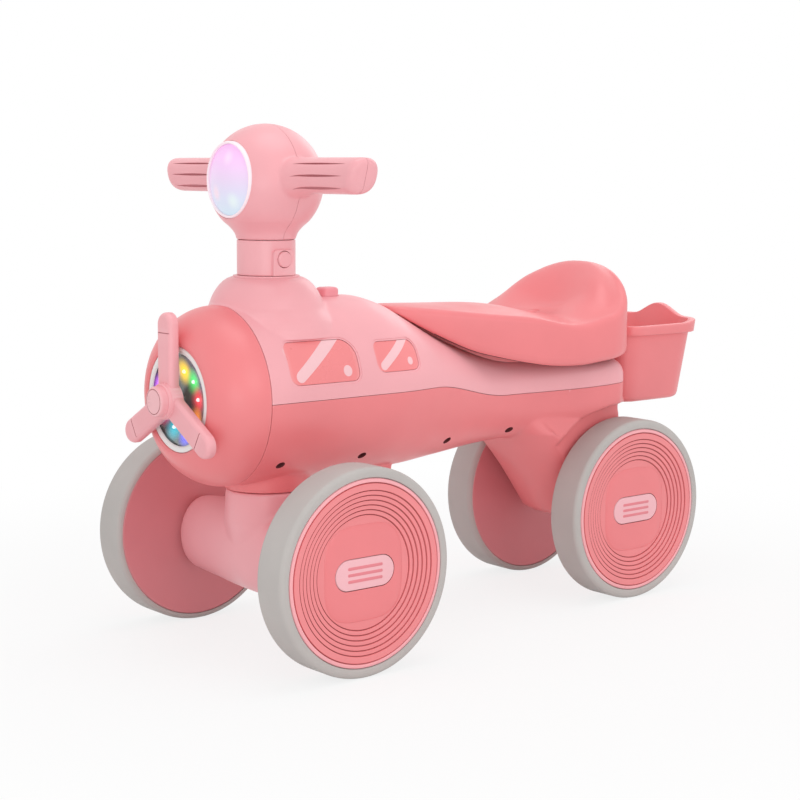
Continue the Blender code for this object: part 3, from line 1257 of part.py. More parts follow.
def wheel(name, side, inner_face, axle_y, spin_pivot):
    """Tyre, two hub discs and the hub badge of one wheel."""
    outer = inner_face + TYRE_WIDTH
    centre = (side * outer, axle_y, AXLE_Z)
    inward = (-side, 0, 0)
    true_radius = WHEEL_RADIUS / cos(pi / TYRE_SEGMENTS)
    bore = (OUTER_DISC_RADIUS + SEATED) / cos(pi / TYRE_SEGMENTS)
    recess = (INNER_DISC_RADIUS + SEATED) / cos(pi / TYRE_SEGMENTS)
    ledge = TYRE_WIDTH - INNER_DISC_PLATE - 2 * SEATED
    tyre = turned(name + "_tyre", [
        (bore, 0), (true_radius - TYRE_SHOULDER, 0), (true_radius, TYRE_SHOULDER),
        (true_radius, TYRE_WIDTH - TYRE_SHOULDER), (true_radius - 3.2, TYRE_WIDTH),
        (recess, TYRE_WIDTH), (recess, ledge), (bore, ledge)],
        centre, inward, tyre_rubber(), TYRE_SEGMENTS)
    hub_bore = AXLE_RADIUS + RUNNING
    pocket = AXLE_CAP_RADIUS + 1.2
    pocket_floor = DISC_DISH + CAP_POCKET_DEPTH
    profile = [(pocket, DISC_DISH)]
    drop = (DISC_DISH - 0.1) / len(DISC_STEPS_IN)
    depth = DISC_DISH
    for inward_from_edge in DISC_STEPS_IN:
        radius = OUTER_DISC_RADIUS - inward_from_edge
        profile.append((radius, depth))
        depth -= drop
        profile.append((radius + DISC_STEP_LEAN, depth + 0.1 * drop))
    back = TYRE_WIDTH / 2
    plate_back = DISC_DISH + WALL
    profile += [(OUTER_DISC_RADIUS - DISC_RIM_BEVEL, 0), (OUTER_DISC_RADIUS, 0.4),
                (OUTER_DISC_RADIUS, back), (OUTER_DISC_RADIUS - WALL, back),
                (OUTER_DISC_RADIUS - WALL, plate_back), (HUB_RADIUS, plate_back),
                (HUB_RADIUS, back + 7), (hub_bore, back + 7), (hub_bore, pocket_floor),
                (pocket, pocket_floor)]
    outer_disc = turned(name + "_outer_disc", profile, centre, inward, coral_plastic(),
                        DISC_SEGMENTS)
    face = TYRE_WIDTH - 0.2
    inner_disc = turned(name + "_inner_disc", [
        (INNER_DISC_RADIUS, face), (HUB_RADIUS + 5, face - 1.6),
        (HUB_RADIUS, TYRE_WIDTH + HUB_STANDOFF), (hub_bore, TYRE_WIDTH + HUB_STANDOFF),
        (hub_bore, back + 7 + SEATED), (HUB_RADIUS, back + 7 + SEATED),
        (INNER_DISC_RADIUS, face - INNER_DISC_PLATE)], centre, inward, coral_plastic(),
        DISC_SEGMENTS)
    face_x = outer - DISC_DISH + SEATED
    badge = prism(name + "_badge", capsule_outline(BADGE_LENGTH, BADGE_HEIGHT),
                  lambda point, end: Vector((side * (face_x + BADGE_THICKNESS * end),
                                             axle_y + point.x, AXLE_Z + point.y)),
                  pink_plastic())
    for piece in (tyre, outer_disc, inner_disc, badge):
        hang_on(piece, spin_pivot)


def axle(name, inner_face, axle_y):
    """Steel rod with a pressed cap at each end, under the hub badges."""
    outer = inner_face + TYRE_WIDTH
    seat_x = outer - DISC_DISH - CAP_POCKET_DEPTH + RUNNING
    tip = seat_x + AXLE_CAP_THICKNESS
    return turned(name, [
        (0, -tip), (AXLE_CAP_RADIUS - 1, -tip), (AXLE_CAP_RADIUS, -tip + 1),
        (AXLE_CAP_RADIUS, -seat_x), (AXLE_RADIUS, -seat_x), (AXLE_RADIUS, seat_x),
        (AXLE_CAP_RADIUS, seat_x), (AXLE_CAP_RADIUS, tip - 1), (AXLE_CAP_RADIUS - 1, tip), (0, tip)],
        (0, axle_y, AXLE_Z), (1, 0, 0), steel(), 12)


# Bushes, batteries, sound

def bushes():
    bore = STEM_RADIUS + RUNNING
    flange_top = COWL_TOP_Z - COWL_ROOF - SEATED
    upper = turned("upper_steering_bush", [
        (bore, COWL_TOP_Z), (BUSH_RADIUS, COWL_TOP_Z), (BUSH_RADIUS, flange_top),
        (BUSH_FLANGE, flange_top), (BUSH_FLANGE, flange_top - BUSH_FLANGE_THICKNESS),
        (bore, flange_top - BUSH_FLANGE_THICKNESS)], (0, 0, 0), (0, 0, 1), bearing_plastic(), 16)
    lower = turned("lower_steering_bush", [
        (bore, COLLAR_BOTTOM_Z), (BUSH_RADIUS, COLLAR_BOTTOM_Z), (BUSH_RADIUS, BUSH_SEAT_Z + SEATED),
        (BUSH_FLANGE, BUSH_SEAT_Z + SEATED), (BUSH_FLANGE, BUSH_SEAT_Z + SEATED
                                              + BUSH_FLANGE_THICKNESS),
        (bore, BUSH_SEAT_Z + SEATED + BUSH_FLANGE_THICKNESS)], (0, 0, 0), (0, 0, 1),
        bearing_plastic(), 16)
    return [upper, lower]


def battery_parts():
    half, front, rear = battery_opening()
    floor = BATTERY_PAD_Z
    cover = block("battery_cover", (-half + SEATED, front + SEATED, floor),
                  (half - SEATED, rear - SEATED, floor + COVER_THICKNESS), coral_plastic())
    cell_z = floor + COVER_THICKNESS + SEATED + CELL_RADIUS
    room = CELL_PITCH / 2 + CELL_RADIUS + 0.7
    reach = CELL_LENGTH / 2 + 0.9
    base = floor + COVER_THICKNESS + SEATED
    top = cell_z + CELL_RADIUS + 0.8
    box = block("battery_box", (-room - BATTERY_WALL, BATTERY_CENTRE_Y - reach - BATTERY_WALL, base),
                (room + BATTERY_WALL, BATTERY_CENTRE_Y + reach + BATTERY_WALL, top + BATTERY_WALL),
                black_plastic())
    flange = block("flange", (-half + SEATED, front + SEATED, base),
                   (half - SEATED, rear - SEATED, base + 1.6), black_plastic())
    box = join(box, flange)
    box = cut(box, block("room", (-room, BATTERY_CENTRE_Y - reach, base - 3),
                         (room, BATTERY_CENTRE_Y + reach, top), black_plastic()))
    pieces = [cover, box]
    for name, side in (("battery_cell_left", 1), ("battery_cell_right", -1)):
        x = side * CELL_PITCH / 2
        end = CELL_LENGTH / 2
        pieces.append(turned(name, [
            (0, -end), (CELL_RADIUS, -end), (CELL_RADIUS, end - 1.4), (2.6, end - 1.4), (2.6, end),
            (0, end)], (x, BATTERY_CENTRE_Y, cell_z), (0, side, 0),
            material("battery_sleeve", (0.12, 0.13, 0.15), 0.35, 0.4), 10))
    return pieces


def speaker():
    base = SPEAKER_SEAT_Z + SEATED
    return turned("speaker", [
        (0, base + 4), (7, base + 3), (SPEAKER_RADIUS - 3, base + 0.6), (SPEAKER_RADIUS - 3, base),
        (SPEAKER_RADIUS, base), (SPEAKER_RADIUS, base + 2), (11, base + SPEAKER_HEIGHT - 4),
        (11, base + SPEAKER_HEIGHT), (0, base + SPEAKER_HEIGHT)],
        (0, SPEAKER_Y, 0), (0, 0, 1), black_plastic(), 14)


def music_button_block(name, grow, low, high):
    half_x = BUTTON_WIDTH / 2 + grow
    half_y = BUTTON_LENGTH / 2 + grow
    corners = [(-half_x, BUTTON_Y - half_y), (half_x, BUTTON_Y - half_y),
               (half_x, BUTTON_Y + half_y), (-half_x, BUTTON_Y + half_y)]
    outline = rounded_outline(corners, [4.5] * 4, 2)
    return prism(name, outline,
                 lambda point, end: Vector((point.x, point.y, low if end == 0 else high)),
                 coral_plastic())


def button_flange_top():
    """Underside of the roof at the outermost corner of the button's flange."""
    corner = BUTTON_WIDTH / 2 + BUTTON_FLANGE
    return fuselage_roof(corner, BUTTON_Y - BUTTON_LENGTH / 2, WALL) - FACET_SAG - SEATED


def music_button():
    top = button_flange_top()
    piece = music_button_block("music_button", 0, top - 2, BUTTON_TOP_Z)
    return join(piece, music_button_block("flange", BUTTON_FLANGE, top - 2.2, top))


def sound_board():
    low = button_flange_top() - 2.2 - BUTTON_TRAVEL - SEATED
    board = block("sound_board", (-17, BUTTON_Y - 12, BOARD_Z), (17, BUTTON_Y + 22,
                                                               BOARD_Z + BOARD_THICKNESS),
                  circuit_board())
    return join(board, block("switch", (-3, BUTTON_Y - 3, BOARD_Z + BOARD_THICKNESS / 2),
                             (3, BUTTON_Y + 3, low), circuit_board()))


def build():
    clear_scene()
    scooter = pivot("scooter", (0, 0, 0), None)

    body = [upper_shell(), lower_shell(), nose_cone()] + nose_fittings()
    for side, word in ((1, "left"), (-1, "right")):
        body.append(window_inlay("front_window_" + word, LARGE_WINDOW, LARGE_WINDOW_SWEEP, side))
        body.append(window_inlay("rear_window_" + word, SMALL_WINDOW, SMALL_WINDOW_SWEEP, side))
    body += [seat(), seat_screw(), axle("rear_axle", REAR_INNER_FACE, REAR_AXLE_Y)]
    body += bushes() + battery_parts() + [speaker(), sound_board()]
    for piece in body:
        hang_on(piece, scooter)

    hang_on(propeller(), pivot("propeller_spin", (0, PROPELLER_FACE_Y, FUSELAGE_AXIS_Z), scooter))
    hang_on(music_button(), pivot("button_slide", (0, BUTTON_Y, BUTTON_TOP_Z), scooter))
    hang_on(bucket(), pivot("bucket_lift", (0, BUCKET_FRONT_Y, HOOK_TOP_Z), scooter))

    steering = pivot("steering_turn", (0, 0, COLLAR_BOTTOM_Z), scooter)
    turning = [front_axle_housing(), axle("front_axle", FRONT_INNER_FACE, 0)]
    turning += steering_column() + head_shells() + lamp_fittings()
    turning.append(cylinder("handlebar_tube", BAR_TUBE_RADIUS, (9 - GRIP_FOOT_X, 0, BAR_Z),
                            (GRIP_FOOT_X - 9, 0, BAR_Z), steel(), 12))
    for piece in turning:
        hang_on(piece, steering)
    hang_on(snap_button(), pivot("snap_press", (NECK_RADIUS, 0, SNAP_Z), steering))

    corners = (("front_left", 1, FRONT_INNER_FACE, 0, steering),
               ("front_right", -1, FRONT_INNER_FACE, 0, steering),
               ("rear_left", 1, REAR_INNER_FACE, REAR_AXLE_Y, scooter),
               ("rear_right", -1, REAR_INNER_FACE, REAR_AXLE_Y, scooter))
    for name, side, inner_face, axle_y, holder in corners:
        middle = side * (inner_face + TYRE_WIDTH / 2)
        spin = pivot(name + "_wheel_spin", (middle, axle_y, AXLE_Z), holder)
        wheel(name, side, inner_face, axle_y, spin)

    scooter.location = (0, ORIGIN_SHIFT_Y * MM, ORIGIN_SHIFT_Z * MM)
    bpy.context.view_layer.update()


build()
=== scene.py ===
import json
from math import atan2, cos, hypot, pi, radians, sin, sqrt, tan

import bmesh
import bpy
from mathutils import Matrix, Vector


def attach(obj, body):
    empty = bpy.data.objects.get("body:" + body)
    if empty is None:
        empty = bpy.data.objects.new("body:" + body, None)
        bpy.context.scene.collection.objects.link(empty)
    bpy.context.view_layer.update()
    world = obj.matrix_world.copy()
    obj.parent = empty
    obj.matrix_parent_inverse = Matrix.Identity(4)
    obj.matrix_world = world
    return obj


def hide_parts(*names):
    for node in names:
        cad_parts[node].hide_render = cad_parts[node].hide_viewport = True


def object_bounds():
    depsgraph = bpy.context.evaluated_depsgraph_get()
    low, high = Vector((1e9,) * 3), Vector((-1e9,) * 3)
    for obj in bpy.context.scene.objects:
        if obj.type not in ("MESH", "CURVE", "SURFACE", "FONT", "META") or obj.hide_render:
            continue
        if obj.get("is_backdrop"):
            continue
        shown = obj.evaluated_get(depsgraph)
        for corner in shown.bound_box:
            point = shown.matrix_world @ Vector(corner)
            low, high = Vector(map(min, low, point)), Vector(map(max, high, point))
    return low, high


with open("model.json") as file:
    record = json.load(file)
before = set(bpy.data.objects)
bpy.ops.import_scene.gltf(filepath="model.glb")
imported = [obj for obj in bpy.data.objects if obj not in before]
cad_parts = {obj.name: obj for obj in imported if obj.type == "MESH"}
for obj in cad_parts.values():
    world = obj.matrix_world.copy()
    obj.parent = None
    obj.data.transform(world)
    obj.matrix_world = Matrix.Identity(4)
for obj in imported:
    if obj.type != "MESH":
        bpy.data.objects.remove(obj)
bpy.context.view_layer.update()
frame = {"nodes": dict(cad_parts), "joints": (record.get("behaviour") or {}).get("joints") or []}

# Studio
# A plain pale floor in a white surround, with large soft lamps over and beside the scooter, and
# the camera in front of its left side, nearly as high as the handlebar.

CAMERA_PLACE = (1.0454, -0.90745, 0.3543)
CAMERA_AZIMUTH = radians(50.28)
CAMERA_ELEVATION = radians(7.55)
CAMERA_ROLL = radians(0.309)
CAMERA_LENS = 78.18
CAMERA_SENSOR = 36.0
BODY_MIDDLE = (0.0, 0.0, 0.18)
# name, place, size, watts and aim
LAMPS = (
    ("lamp_over", (0.15, 0.0, 1.9), 1.3, 7.0, BODY_MIDDLE),
    ("lamp_side", (1.9, -0.2, 1.0), 1.2, 4.6, BODY_MIDDLE),
    ("lamp_low", (1.5, -1.3, 0.16), 1.0, 5.2, (0.0, -0.05, 0.12)),
    ("lamp_nose", (-0.7, -2.0, 1.0), 1.2, 1.8, BODY_MIDDLE),
    ("lamp_tail", (-0.9, 1.9, 1.3), 1.2, 4.0, BODY_MIDDLE))
WHITE = (1.0, 1.0, 1.0)
SURROUND_LIGHT = 0.74
FLOOR_PALE = (0.88, 0.88, 0.88)
FLOOR_HALF = 6.0
FLOOR_NEAR = 0.30                # out to here the floor shows its shadows
FLOOR_FAR = 0.70                 # from here on it is as white as the surround
FLOOR_LIFT = 0.80


def placed(name, data):
    made = bpy.data.objects.new(name, data)
    bpy.context.scene.collection.objects.link(made)
    return made


def filled(node, inputs):
    """Give a shader node's inputs their numbers and colours, or join them to other outputs."""
    for socket, value in inputs.items():
        if isinstance(value, bpy.types.NodeSocket):
            node.id_data.links.new(value, node.inputs[socket])
        elif isinstance(value, tuple):
            node.inputs[socket].default_value = (*value, 1.0)
        else:
            node.inputs[socket].default_value = value


def wired(tree, kind, inputs, mode=None):
    """The outputs of a new shader node with its mode and its inputs."""
    node = tree.nodes.new("ShaderNode" + kind)
    if kind == "Mix":
        node.data_type = mode
    elif kind == "MapRange":
        node.interpolation_type = mode
    elif mode:
        node.operation = mode
    filled(node, inputs)
    return node.outputs


def ranged(tree, source, low, high, to_low, to_high, ease="LINEAR"):
    return wired(tree, "MapRange", {"Value": source, "From Min": low, "From Max": high,
                                    "To Min": to_low, "To Max": to_high}, ease)["Result"]


def emptied(owner):
    owner.use_nodes = True
    owner.node_tree.nodes.clear()
    return owner.node_tree


def white_to_rays(tree, otherwise, white, share=None):
    """A shader, but white to camera, glossy and transmission rays, or a share white."""
    path = wired(tree, "LightPath", {})
    seen = path["Is Camera Ray"]
    for ray in ("Is Glossy Ray", "Is Transmission Ray"):
        seen = wired(tree, "Math", {0: seen, 1: path[ray]}, "MAXIMUM")[0]
    if share:
        seen = wired(tree, "Math", {0: share, 1: seen}, "MULTIPLY")[0]
    return wired(tree, "MixShader", {0: seen, 1: otherwise[0], 2: white[0]})[0]


backward = Vector((sin(CAMERA_AZIMUTH) * cos(CAMERA_ELEVATION),
                   -cos(CAMERA_AZIMUTH) * cos(CAMERA_ELEVATION), sin(CAMERA_ELEVATION)))
rightward = (-backward).cross(Vector((0, 0, 1))).normalized()
upward = rightward.cross(-backward)
rolled_right = rightward * cos(CAMERA_ROLL) + upward * sin(CAMERA_ROLL)
rolled_up = upward * cos(CAMERA_ROLL) - rightward * sin(CAMERA_ROLL)
camera_data = bpy.data.cameras.new("camera")
camera_data.lens = CAMERA_LENS
camera_data.sensor_width = CAMERA_SENSOR
camera = placed("camera", camera_data)
turned_axes = Matrix((rolled_right, rolled_up, backward)).transposed()
camera.matrix_world = Matrix.Translation(CAMERA_PLACE) @ turned_axes.to_4x4()
bpy.context.scene.camera = camera
bpy.context.scene.view_settings.view_transform = "Standard"

for name, place, size, watts, aim in LAMPS:
    lamp_data = bpy.data.lights.new(name, "AREA")
    lamp_data.shape = "DISK"
    lamp_data.size = size
    lamp_data.energy = watts
    lamp = placed(name, lamp_data)
    lamp.location = place
    lamp.rotation_euler = (Vector(aim) - Vector(place)).to_track_quat("-Z", "Y").to_euler()

world = bpy.data.worlds.new("surround")
bpy.context.scene.world = world
tree = emptied(world)
lighting = wired(tree, "Background", {"Color": WHITE, "Strength": SURROUND_LIGHT})
showing = wired(tree, "Background", {"Color": WHITE, "Strength": 1.0})
wired(tree, "OutputWorld", {"Surface": white_to_rays(tree, lighting, showing)})

shape = bmesh.new()
bmesh.ops.create_grid(shape, x_segments=1, y_segments=1, size=FLOOR_HALF)
floor_mesh = bpy.data.meshes.new("floor")
shape.to_mesh(floor_mesh)
shape.free()
floor = placed("floor", floor_mesh)
floor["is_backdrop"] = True
paper = bpy.data.materials.new("floor_paper")
tree = emptied(paper)
matt = wired(tree, "BsdfDiffuse", {"Color": FLOOR_PALE})
glow = wired(tree, "Emission", {"Strength": 1.0})
reach = wired(tree, "VectorMath", {0: wired(tree, "TexCoord", {})["Object"]}, "LENGTH")["Value"]
fade = ranged(tree, reach, FLOOR_NEAR, FLOOR_FAR, FLOOR_LIFT, 1.0, "SMOOTHSTEP")
wired(tree, "OutputMaterial", {"Surface": white_to_rays(tree, matt, glow, fade)})
floor_mesh.materials.append(paper)

# Body: lower and upper shell
# The fuselage is two blow-moulded shells, coral below and pink above, which meet on a wavy seam.
# The cowl round the steering column is one with the upper shell, and the rear fork, the wheel
# arches and the collar under the column are one with the lower. Screws from below hold them.

MM = 0.001
STEERING = next(joint for joint in frame["joints"] if joint["name"] == "steering_turn")
COLUMN_Y = STEERING["pos_m"][1]      # the sizes below count from the steering column, in mm
SEATED = 0.3
BEYOND = 40.0
AXLE_Z = 75.0
REAR_AXLE_Y = 321.75
WHEEL_RADIUS = 75.0
NOSE_JOINT_Y = -42.0
AXIS_Z = 191.0
HULL_RADIUS = 66.0
ROOF_Z = AXIS_Z + HULL_RADIUS
BELLY_Z = AXIS_Z - HULL_RADIUS
SHOULDER_Y = 75.0
WAIST_Y = 205.0
WAIST_HALF = 43.0
WAIST_TOP = 208.0
WAIST_BOTTOM = 134.0
SEAM_Z_WAIST = AXIS_Z - 14.5
SEAM_GAP = 0.4
HIP_HALF = 60.0
HIP_TOP = 203.0
TAIL_Y = REAR_AXLE_Y + 9.25
TAIL_CORNER = 18.0
TAIL_DRAWN_ABOVE = 0.6           # shares of the tail's corner by which its roof and floor draw in
TAIL_DRAWN_BELOW = 0.5
TAIL_BOTTOM = 138.0
HIP_Y = TAIL_Y - 1.6 * TAIL_CORNER
SKIN_VOXEL = 0.0014
COWL_TOP_Z = ROOF_Z + 20.3
COWL_BRIM = 43.3
COWL_DEPTH = 52.0
# radius and depth below the top: the dome, its straight foot, and a foot spread into the roof
COWL_DOME = ((25.0, 0.0), (28.5, 1.2), (31.4, 3.0), (34.2, 5.6), (36.6, 8.6), (38.7, 11.8),
             (40.4, 15.2), (41.8, 18.9), (42.6, 21.5))
COWL_FOOT = ((COWL_BRIM, 25.0), (COWL_BRIM, 40.3))
COWL_SKIRT = ((43.8, 23.6), (46.4, 26.6), (49.6, 31.0), (52.4, 37.0), (53.6, 44.0))
COLLAR_RADIUS = 32.3
COLLAR_Z = BELLY_Z - 5.5
COLUMN_BORE = 19.3
BATTERY_PAD_Z = BELLY_Z - 0.6
BATTERY_HALF = 19.6
BATTERY_FRONT = 37.4
BATTERY_REAR = 98.6
FORK_HALF = 46.0
FORK_NOSE_DEPTH = 36.0
FORK_TOP_Z = 166.0
FORK_FRONT_TOP = (-86.25, 133.0)
FORK_FRONT_LOW = (-44.25, 76.0)
FORK_TOE = 12.0
FORK_BOSS = 19.0
FORK_SPREAD = 7.5
FORK_SPREAD_Z = 95.0             # the spread starts here
FORK_SPREAD_RISE = 75.0
FORK_FLATTER = 0.55              # share of its round front that the fork loses towards its top
FORK_SUNK = 0.8                  # under the flank's skin
ARCH_RADIUS = WHEEL_RADIUS + 11.5
SCREW_RECESS = 5.2
SCREW_LEAN = (0.72, -0.69)       # outward and down
SCREW_REACH = 9.0
SCREW_PLACES = ((-21.0, 46.0), (54.0, 45.5), (146.0, 36.5), (217.0, 31.5))
SOUND_SLOTS = (142.0, 150.0, 158.0)
SOUND_SLOT_HALF = (9.0, 1.1)
HOOK_NEAR = 9.0
HOOK_FAR = 17.0
HOOK_TOP_Z = 166.0
HOOK_ARM = 6.0

HALF_WIDTHS = (
    (NOSE_JOINT_Y, HULL_RADIUS), (SHOULDER_Y, HULL_RADIUS), (SHOULDER_Y + 35, HULL_RADIUS - 5),
    (SHOULDER_Y + 65, WAIST_HALF + 11), (WAIST_Y, WAIST_HALF), (WAIST_Y + 40, WAIST_HALF + 4),
    (HIP_Y - 18, HIP_HALF - 3), (HIP_Y, HIP_HALF))
TOPS = (
    (NOSE_JOINT_Y, ROOF_Z), (SHOULDER_Y - 5, ROOF_Z + 3), (SHOULDER_Y + 20, ROOF_Z - 3),
    (SHOULDER_Y + 37, ROOF_Z - 12), (SHOULDER_Y + 55, ROOF_Z - 22),
    (WAIST_Y - 55, WAIST_TOP + 17.5), (WAIST_Y - 30, WAIST_TOP + 8), (WAIST_Y, WAIST_TOP),
    (WAIST_Y + 40, HIP_TOP + 1), (HIP_Y - 30, HIP_TOP), (HIP_Y, HIP_TOP))
BOTTOMS = (
    (NOSE_JOINT_Y, BELLY_Z), (SHOULDER_Y + 30, BELLY_Z), (WAIST_Y - 55, BELLY_Z + 3.5),
    (WAIST_Y, WAIST_BOTTOM), (HIP_Y, TAIL_BOTTOM))
SEAM = (
    (NOSE_JOINT_Y, AXIS_Z), (115, AXIS_Z), (WAIST_Y, SEAM_Z_WAIST), (WAIST_Y + 25, SEAM_Z_WAIST),
    (TAIL_Y, SEAM_Z_WAIST + 4))
UPPER_POWERS = ((100, 2.0), (WAIST_Y, 2.3), (HIP_Y - 30, 3.6), (TAIL_Y, 3.8))
LOWER_POWERS = ((100, 2.0), (WAIST_Y, 2.1), (HIP_Y - 30, 2.9), (TAIL_Y, 3.3))


def through(points, at):
    """Smooth value at a place, on a curve through (place, value) points."""
    if at <= points[0][0]:
        return points[0][1]
    if at >= points[-1][0]:
        return points[-1][1]
    slopes = []
    for index, here in enumerate(points):
        before = points[max(index - 1, 0)]
        after = points[min(index + 1, len(points) - 1)]
        inside = 0 < index < len(points) - 1
        if inside and (here[1] - before[1]) * (after[1] - here[1]) <= 0:
            slopes.append(0.0)
        else:
            slopes.append((after[1] - before[1]) / (after[0] - before[0]))
    index = max(i for i in range(len(points) - 1) if points[i][0] <= at)
    (x0, v0), (x1, v1) = points[index], points[index + 1]
    span = x1 - x0
    t = (at - x0) / span
    start = (1 + 2 * t) * (1 - t) ** 2 * v0 + t * (1 - t) ** 2 * span * slopes[index]
    return start + t * t * (3 - 2 * t) * v1 + t * t * (t - 1) * span * slopes[index + 1]


def within(value, low, high):
    return min(max(value, low), high)


def eased(value):
    value = within(value, 0.0, 1.0)
    return value * value * (3 - 2 * value)


def powered(value, power):
    return abs(value) ** (2 / power) * (1 if value >= 0 else -1)


def bulge(share, power):
    """How far a squared circle still reaches, at a share of its reach the other way."""
    return (1 - within(share, 0.0, 1.0) ** power) ** (1 / power)


def round_angles(count):
    return [2 * pi * step / count for step in range(count)]


def rounded_outline(corners, radii, steps=6):
    """A polygon with its corners rounded, each into the same number of points."""
    outline = []
    for index, (corner, radius) in enumerate(zip(corners, radii)):
        here = Vector(corner)
        if radius <= 0:
            outline.append(here)
            continue
        back = (Vector(corners[index - 1]) - here).normalized()
        ahead = (Vector(corners[(index + 1) % len(corners)]) - here).normalized()
        half = back.angle(ahead) / 2
        middle = here + (back + ahead).normalized() * (radius / sin(half))
        first = here + back * (radius / tan(half)) - middle
        last = here + ahead * (radius / tan(half)) - middle
        sweep = atan2(first.x * last.y - first.y * last.x, first.dot(last))
        for step in range(steps + 1):
            outline.append(middle + Matrix.Rotation(sweep * step / steps, 2) @ first)
    return outline


def solid_from(name, shape):
    """An object in the frame's place, from a mesh in millimetres from the column."""
    bmesh.ops.remove_doubles(shape, verts=shape.verts, dist=1e-3)
    bmesh.ops.recalc_face_normals(shape, faces=shape.faces)
    bmesh.ops.scale(shape, vec=(MM, MM, MM), verts=shape.verts)
    bmesh.ops.translate(shape, vec=(0, COLUMN_Y, 0), verts=shape.verts)
    mesh = bpy.data.meshes.new(name)
    shape.to_mesh(mesh)
    shape.free()
    return placed(name, mesh)


def loft(name, rings, ends=True):
    """A skin over closed rings of equal length."""
    shape = bmesh.new()
    loops = [[shape.verts.new(point) for point in ring] for ring in rings]
    count = len(rings[0])
    for lower, upper in zip(loops, loops[1:]):
        for index in range(count):
            following = (index + 1) % count
            shape.faces.new((lower[index], lower[following], upper[following], upper[index]))
    if ends:
        shape.faces.new(loops[0])
        shape.faces.new(loops[-1])
    return solid_from(name, shape)


def crosswise(name, outline, low, high):
    """A straight solid from side to side, with an outline in (y, z)."""
    return loft(name, [[Vector((x, y, z)) for y, z in outline] for x in (low, high)])


def turned(name, profile, centre=(0, 0, 0), axis=(0, 0, 1), segments=128):
    """A turned solid from a closed profile of (radius, distance along the axis)."""
    axis = Vector(axis).normalized()
    start = Vector((0, 0, -1)) if abs(axis.z) < 0.5 else Vector((1, 0, 0))
    side = axis.cross(start)
    shape = bmesh.new()
    rings = []
    for radius, distance in profile:
        base = Vector(centre) + axis * distance
        if radius < 1e-6:
            rings.append([shape.verts.new(base)])
            continue
        turns = [2 * pi * (index + 0.5) / segments for index in range(segments)]
        rings.append([shape.verts.new(base + (start * cos(t) + side * sin(t)) * radius)
                      for t in turns])
    for first, second in zip(rings, rings[1:] + rings[:1]):
        for index in range(segments):
            following = (index + 1) % segments
            corners = [first[index % len(first)], first[following % len(first)],
                       second[following % len(second)], second[index % len(second)]]
            corners = list(dict.fromkeys(corners))
            if len(corners) > 2:
                shape.faces.new(corners)
    return solid_from(name, shape)


def rod(name, radius, start, stop, segments=64):
    start, stop = Vector(start), Vector(stop)
    length = (stop - start).length
    return turned(name, [(0, 0), (radius, 0), (radius, length), (0, length)], start, stop - start,
                  segments)


def block(name, low, high):
    shape = bmesh.new()
    bmesh.ops.create_cube(shape, size=1.0)
    for vert in shape.verts:
        vert.co = Vector([low[axis] if vert.co[axis] < 0 else high[axis] for axis in range(3)])
    return solid_from(name, shape)


def settled(piece):
    """The piece with its modifiers made part of its mesh."""
    graph = bpy.context.evaluated_depsgraph_get()
    made = bpy.data.meshes.new_from_object(piece.evaluated_get(graph))
    piece.modifiers.clear()
    piece.data = made
    return piece


def combined(piece, tool, operation):
    modifier = piece.modifiers.new("combined", "BOOLEAN")
    modifier.operation = operation
    modifier.solver = "EXACT"
    modifier.object = tool
    if tool.data.materials:
        modifier.material_mode = "TRANSFER"
    settled(piece)
    bpy.data.objects.remove(tool, do_unlink=True)
    return piece


def cut(piece, tool, finish=None, shade_paint=None):
    """Cut the tool out; given shade paint, the cut's own faces get that darker finish as painted
    shade.
    """
    if shade_paint:
        if not piece.data.materials:
            piece.data.materials.append(finish)
        tool.data.materials.append(shade_paint)
    return combined(piece, tool, "DIFFERENCE")


def gathered(name, pieces):
    """Several solids in one mesh, as they are and each with its own finish."""
    shape = bmesh.new()
    mesh = bpy.data.meshes.new(name)
    for piece in pieces:
        first = len(shape.faces)
        shape.from_mesh(piece.data)
        shape.faces.ensure_lookup_table()
        for face in shape.faces[first:]:
            face.material_index += len(mesh.materials)
        for finish in piece.data.materials:
            mesh.materials.append(finish)
        bpy.data.objects.remove(piece, do_unlink=True)
    shape.to_mesh(mesh)
    shape.free()
    return placed(name, mesh)


def run_together(piece, voxel, rounds):
    """Overlapping solids melted into one skin, with a soft fillet where they meet."""
    remesh = piece.modifiers.new("one_skin", "REMESH")
    remesh.mode = "VOXEL"
    remesh.voxel_size = voxel
    smooth = piece.modifiers.new("fillets", "SMOOTH")
    smooth.factor = 0.5
    smooth.iterations = rounds
    return settled(piece)


def hull_section(y, inset=0):
    """Half width, seam height, height above it, depth below it, and the two powers."""
    corner = TAIL_CORNER - inset
    into = y - (TAIL_Y - TAIL_CORNER)
    drawn = corner - sqrt(max(corner ** 2 - into ** 2, 0.0)) if into > 0 else 0.0
    seam = through(SEAM, y)
    half = through(HALF_WIDTHS, y) - inset - drawn
    above = through(TOPS, y) - inset - TAIL_DRAWN_ABOVE * drawn - seam
    below = seam - through(BOTTOMS, y) - inset - TAIL_DRAWN_BELOW * drawn
    return half, seam, above, below, through(UPPER_POWERS, y), through(LOWER_POWERS, y)


def hull(name, first, last, inset=0.0):
    """Both halves of the fuselage as one solid, drawn in by an inset."""
    corner = TAIL_Y - TAIL_CORNER
    places = []
    y = first
    while y < min(last, corner):
        places.append(y)
        y += 4.0
    if last > corner:
        places += [corner + (last - corner) * sin(radians(angle)) for angle in range(0, 91, 9)]
    else:
        places.append(last)
    rings = []
    for y in places:
        half, seam, above, below, upper_power, lower_power = hull_section(y, inset)
        ring = []
        for angle in round_angles(120):
            rise, power = (above, upper_power) if sin(angle) >= 0 else (below, lower_power)
            ring.append(Vector((half * powered(cos(angle), power), y,
                                seam + rise * powered(sin(angle), power))))
        rings.append(ring)
    return loft(name, rings)


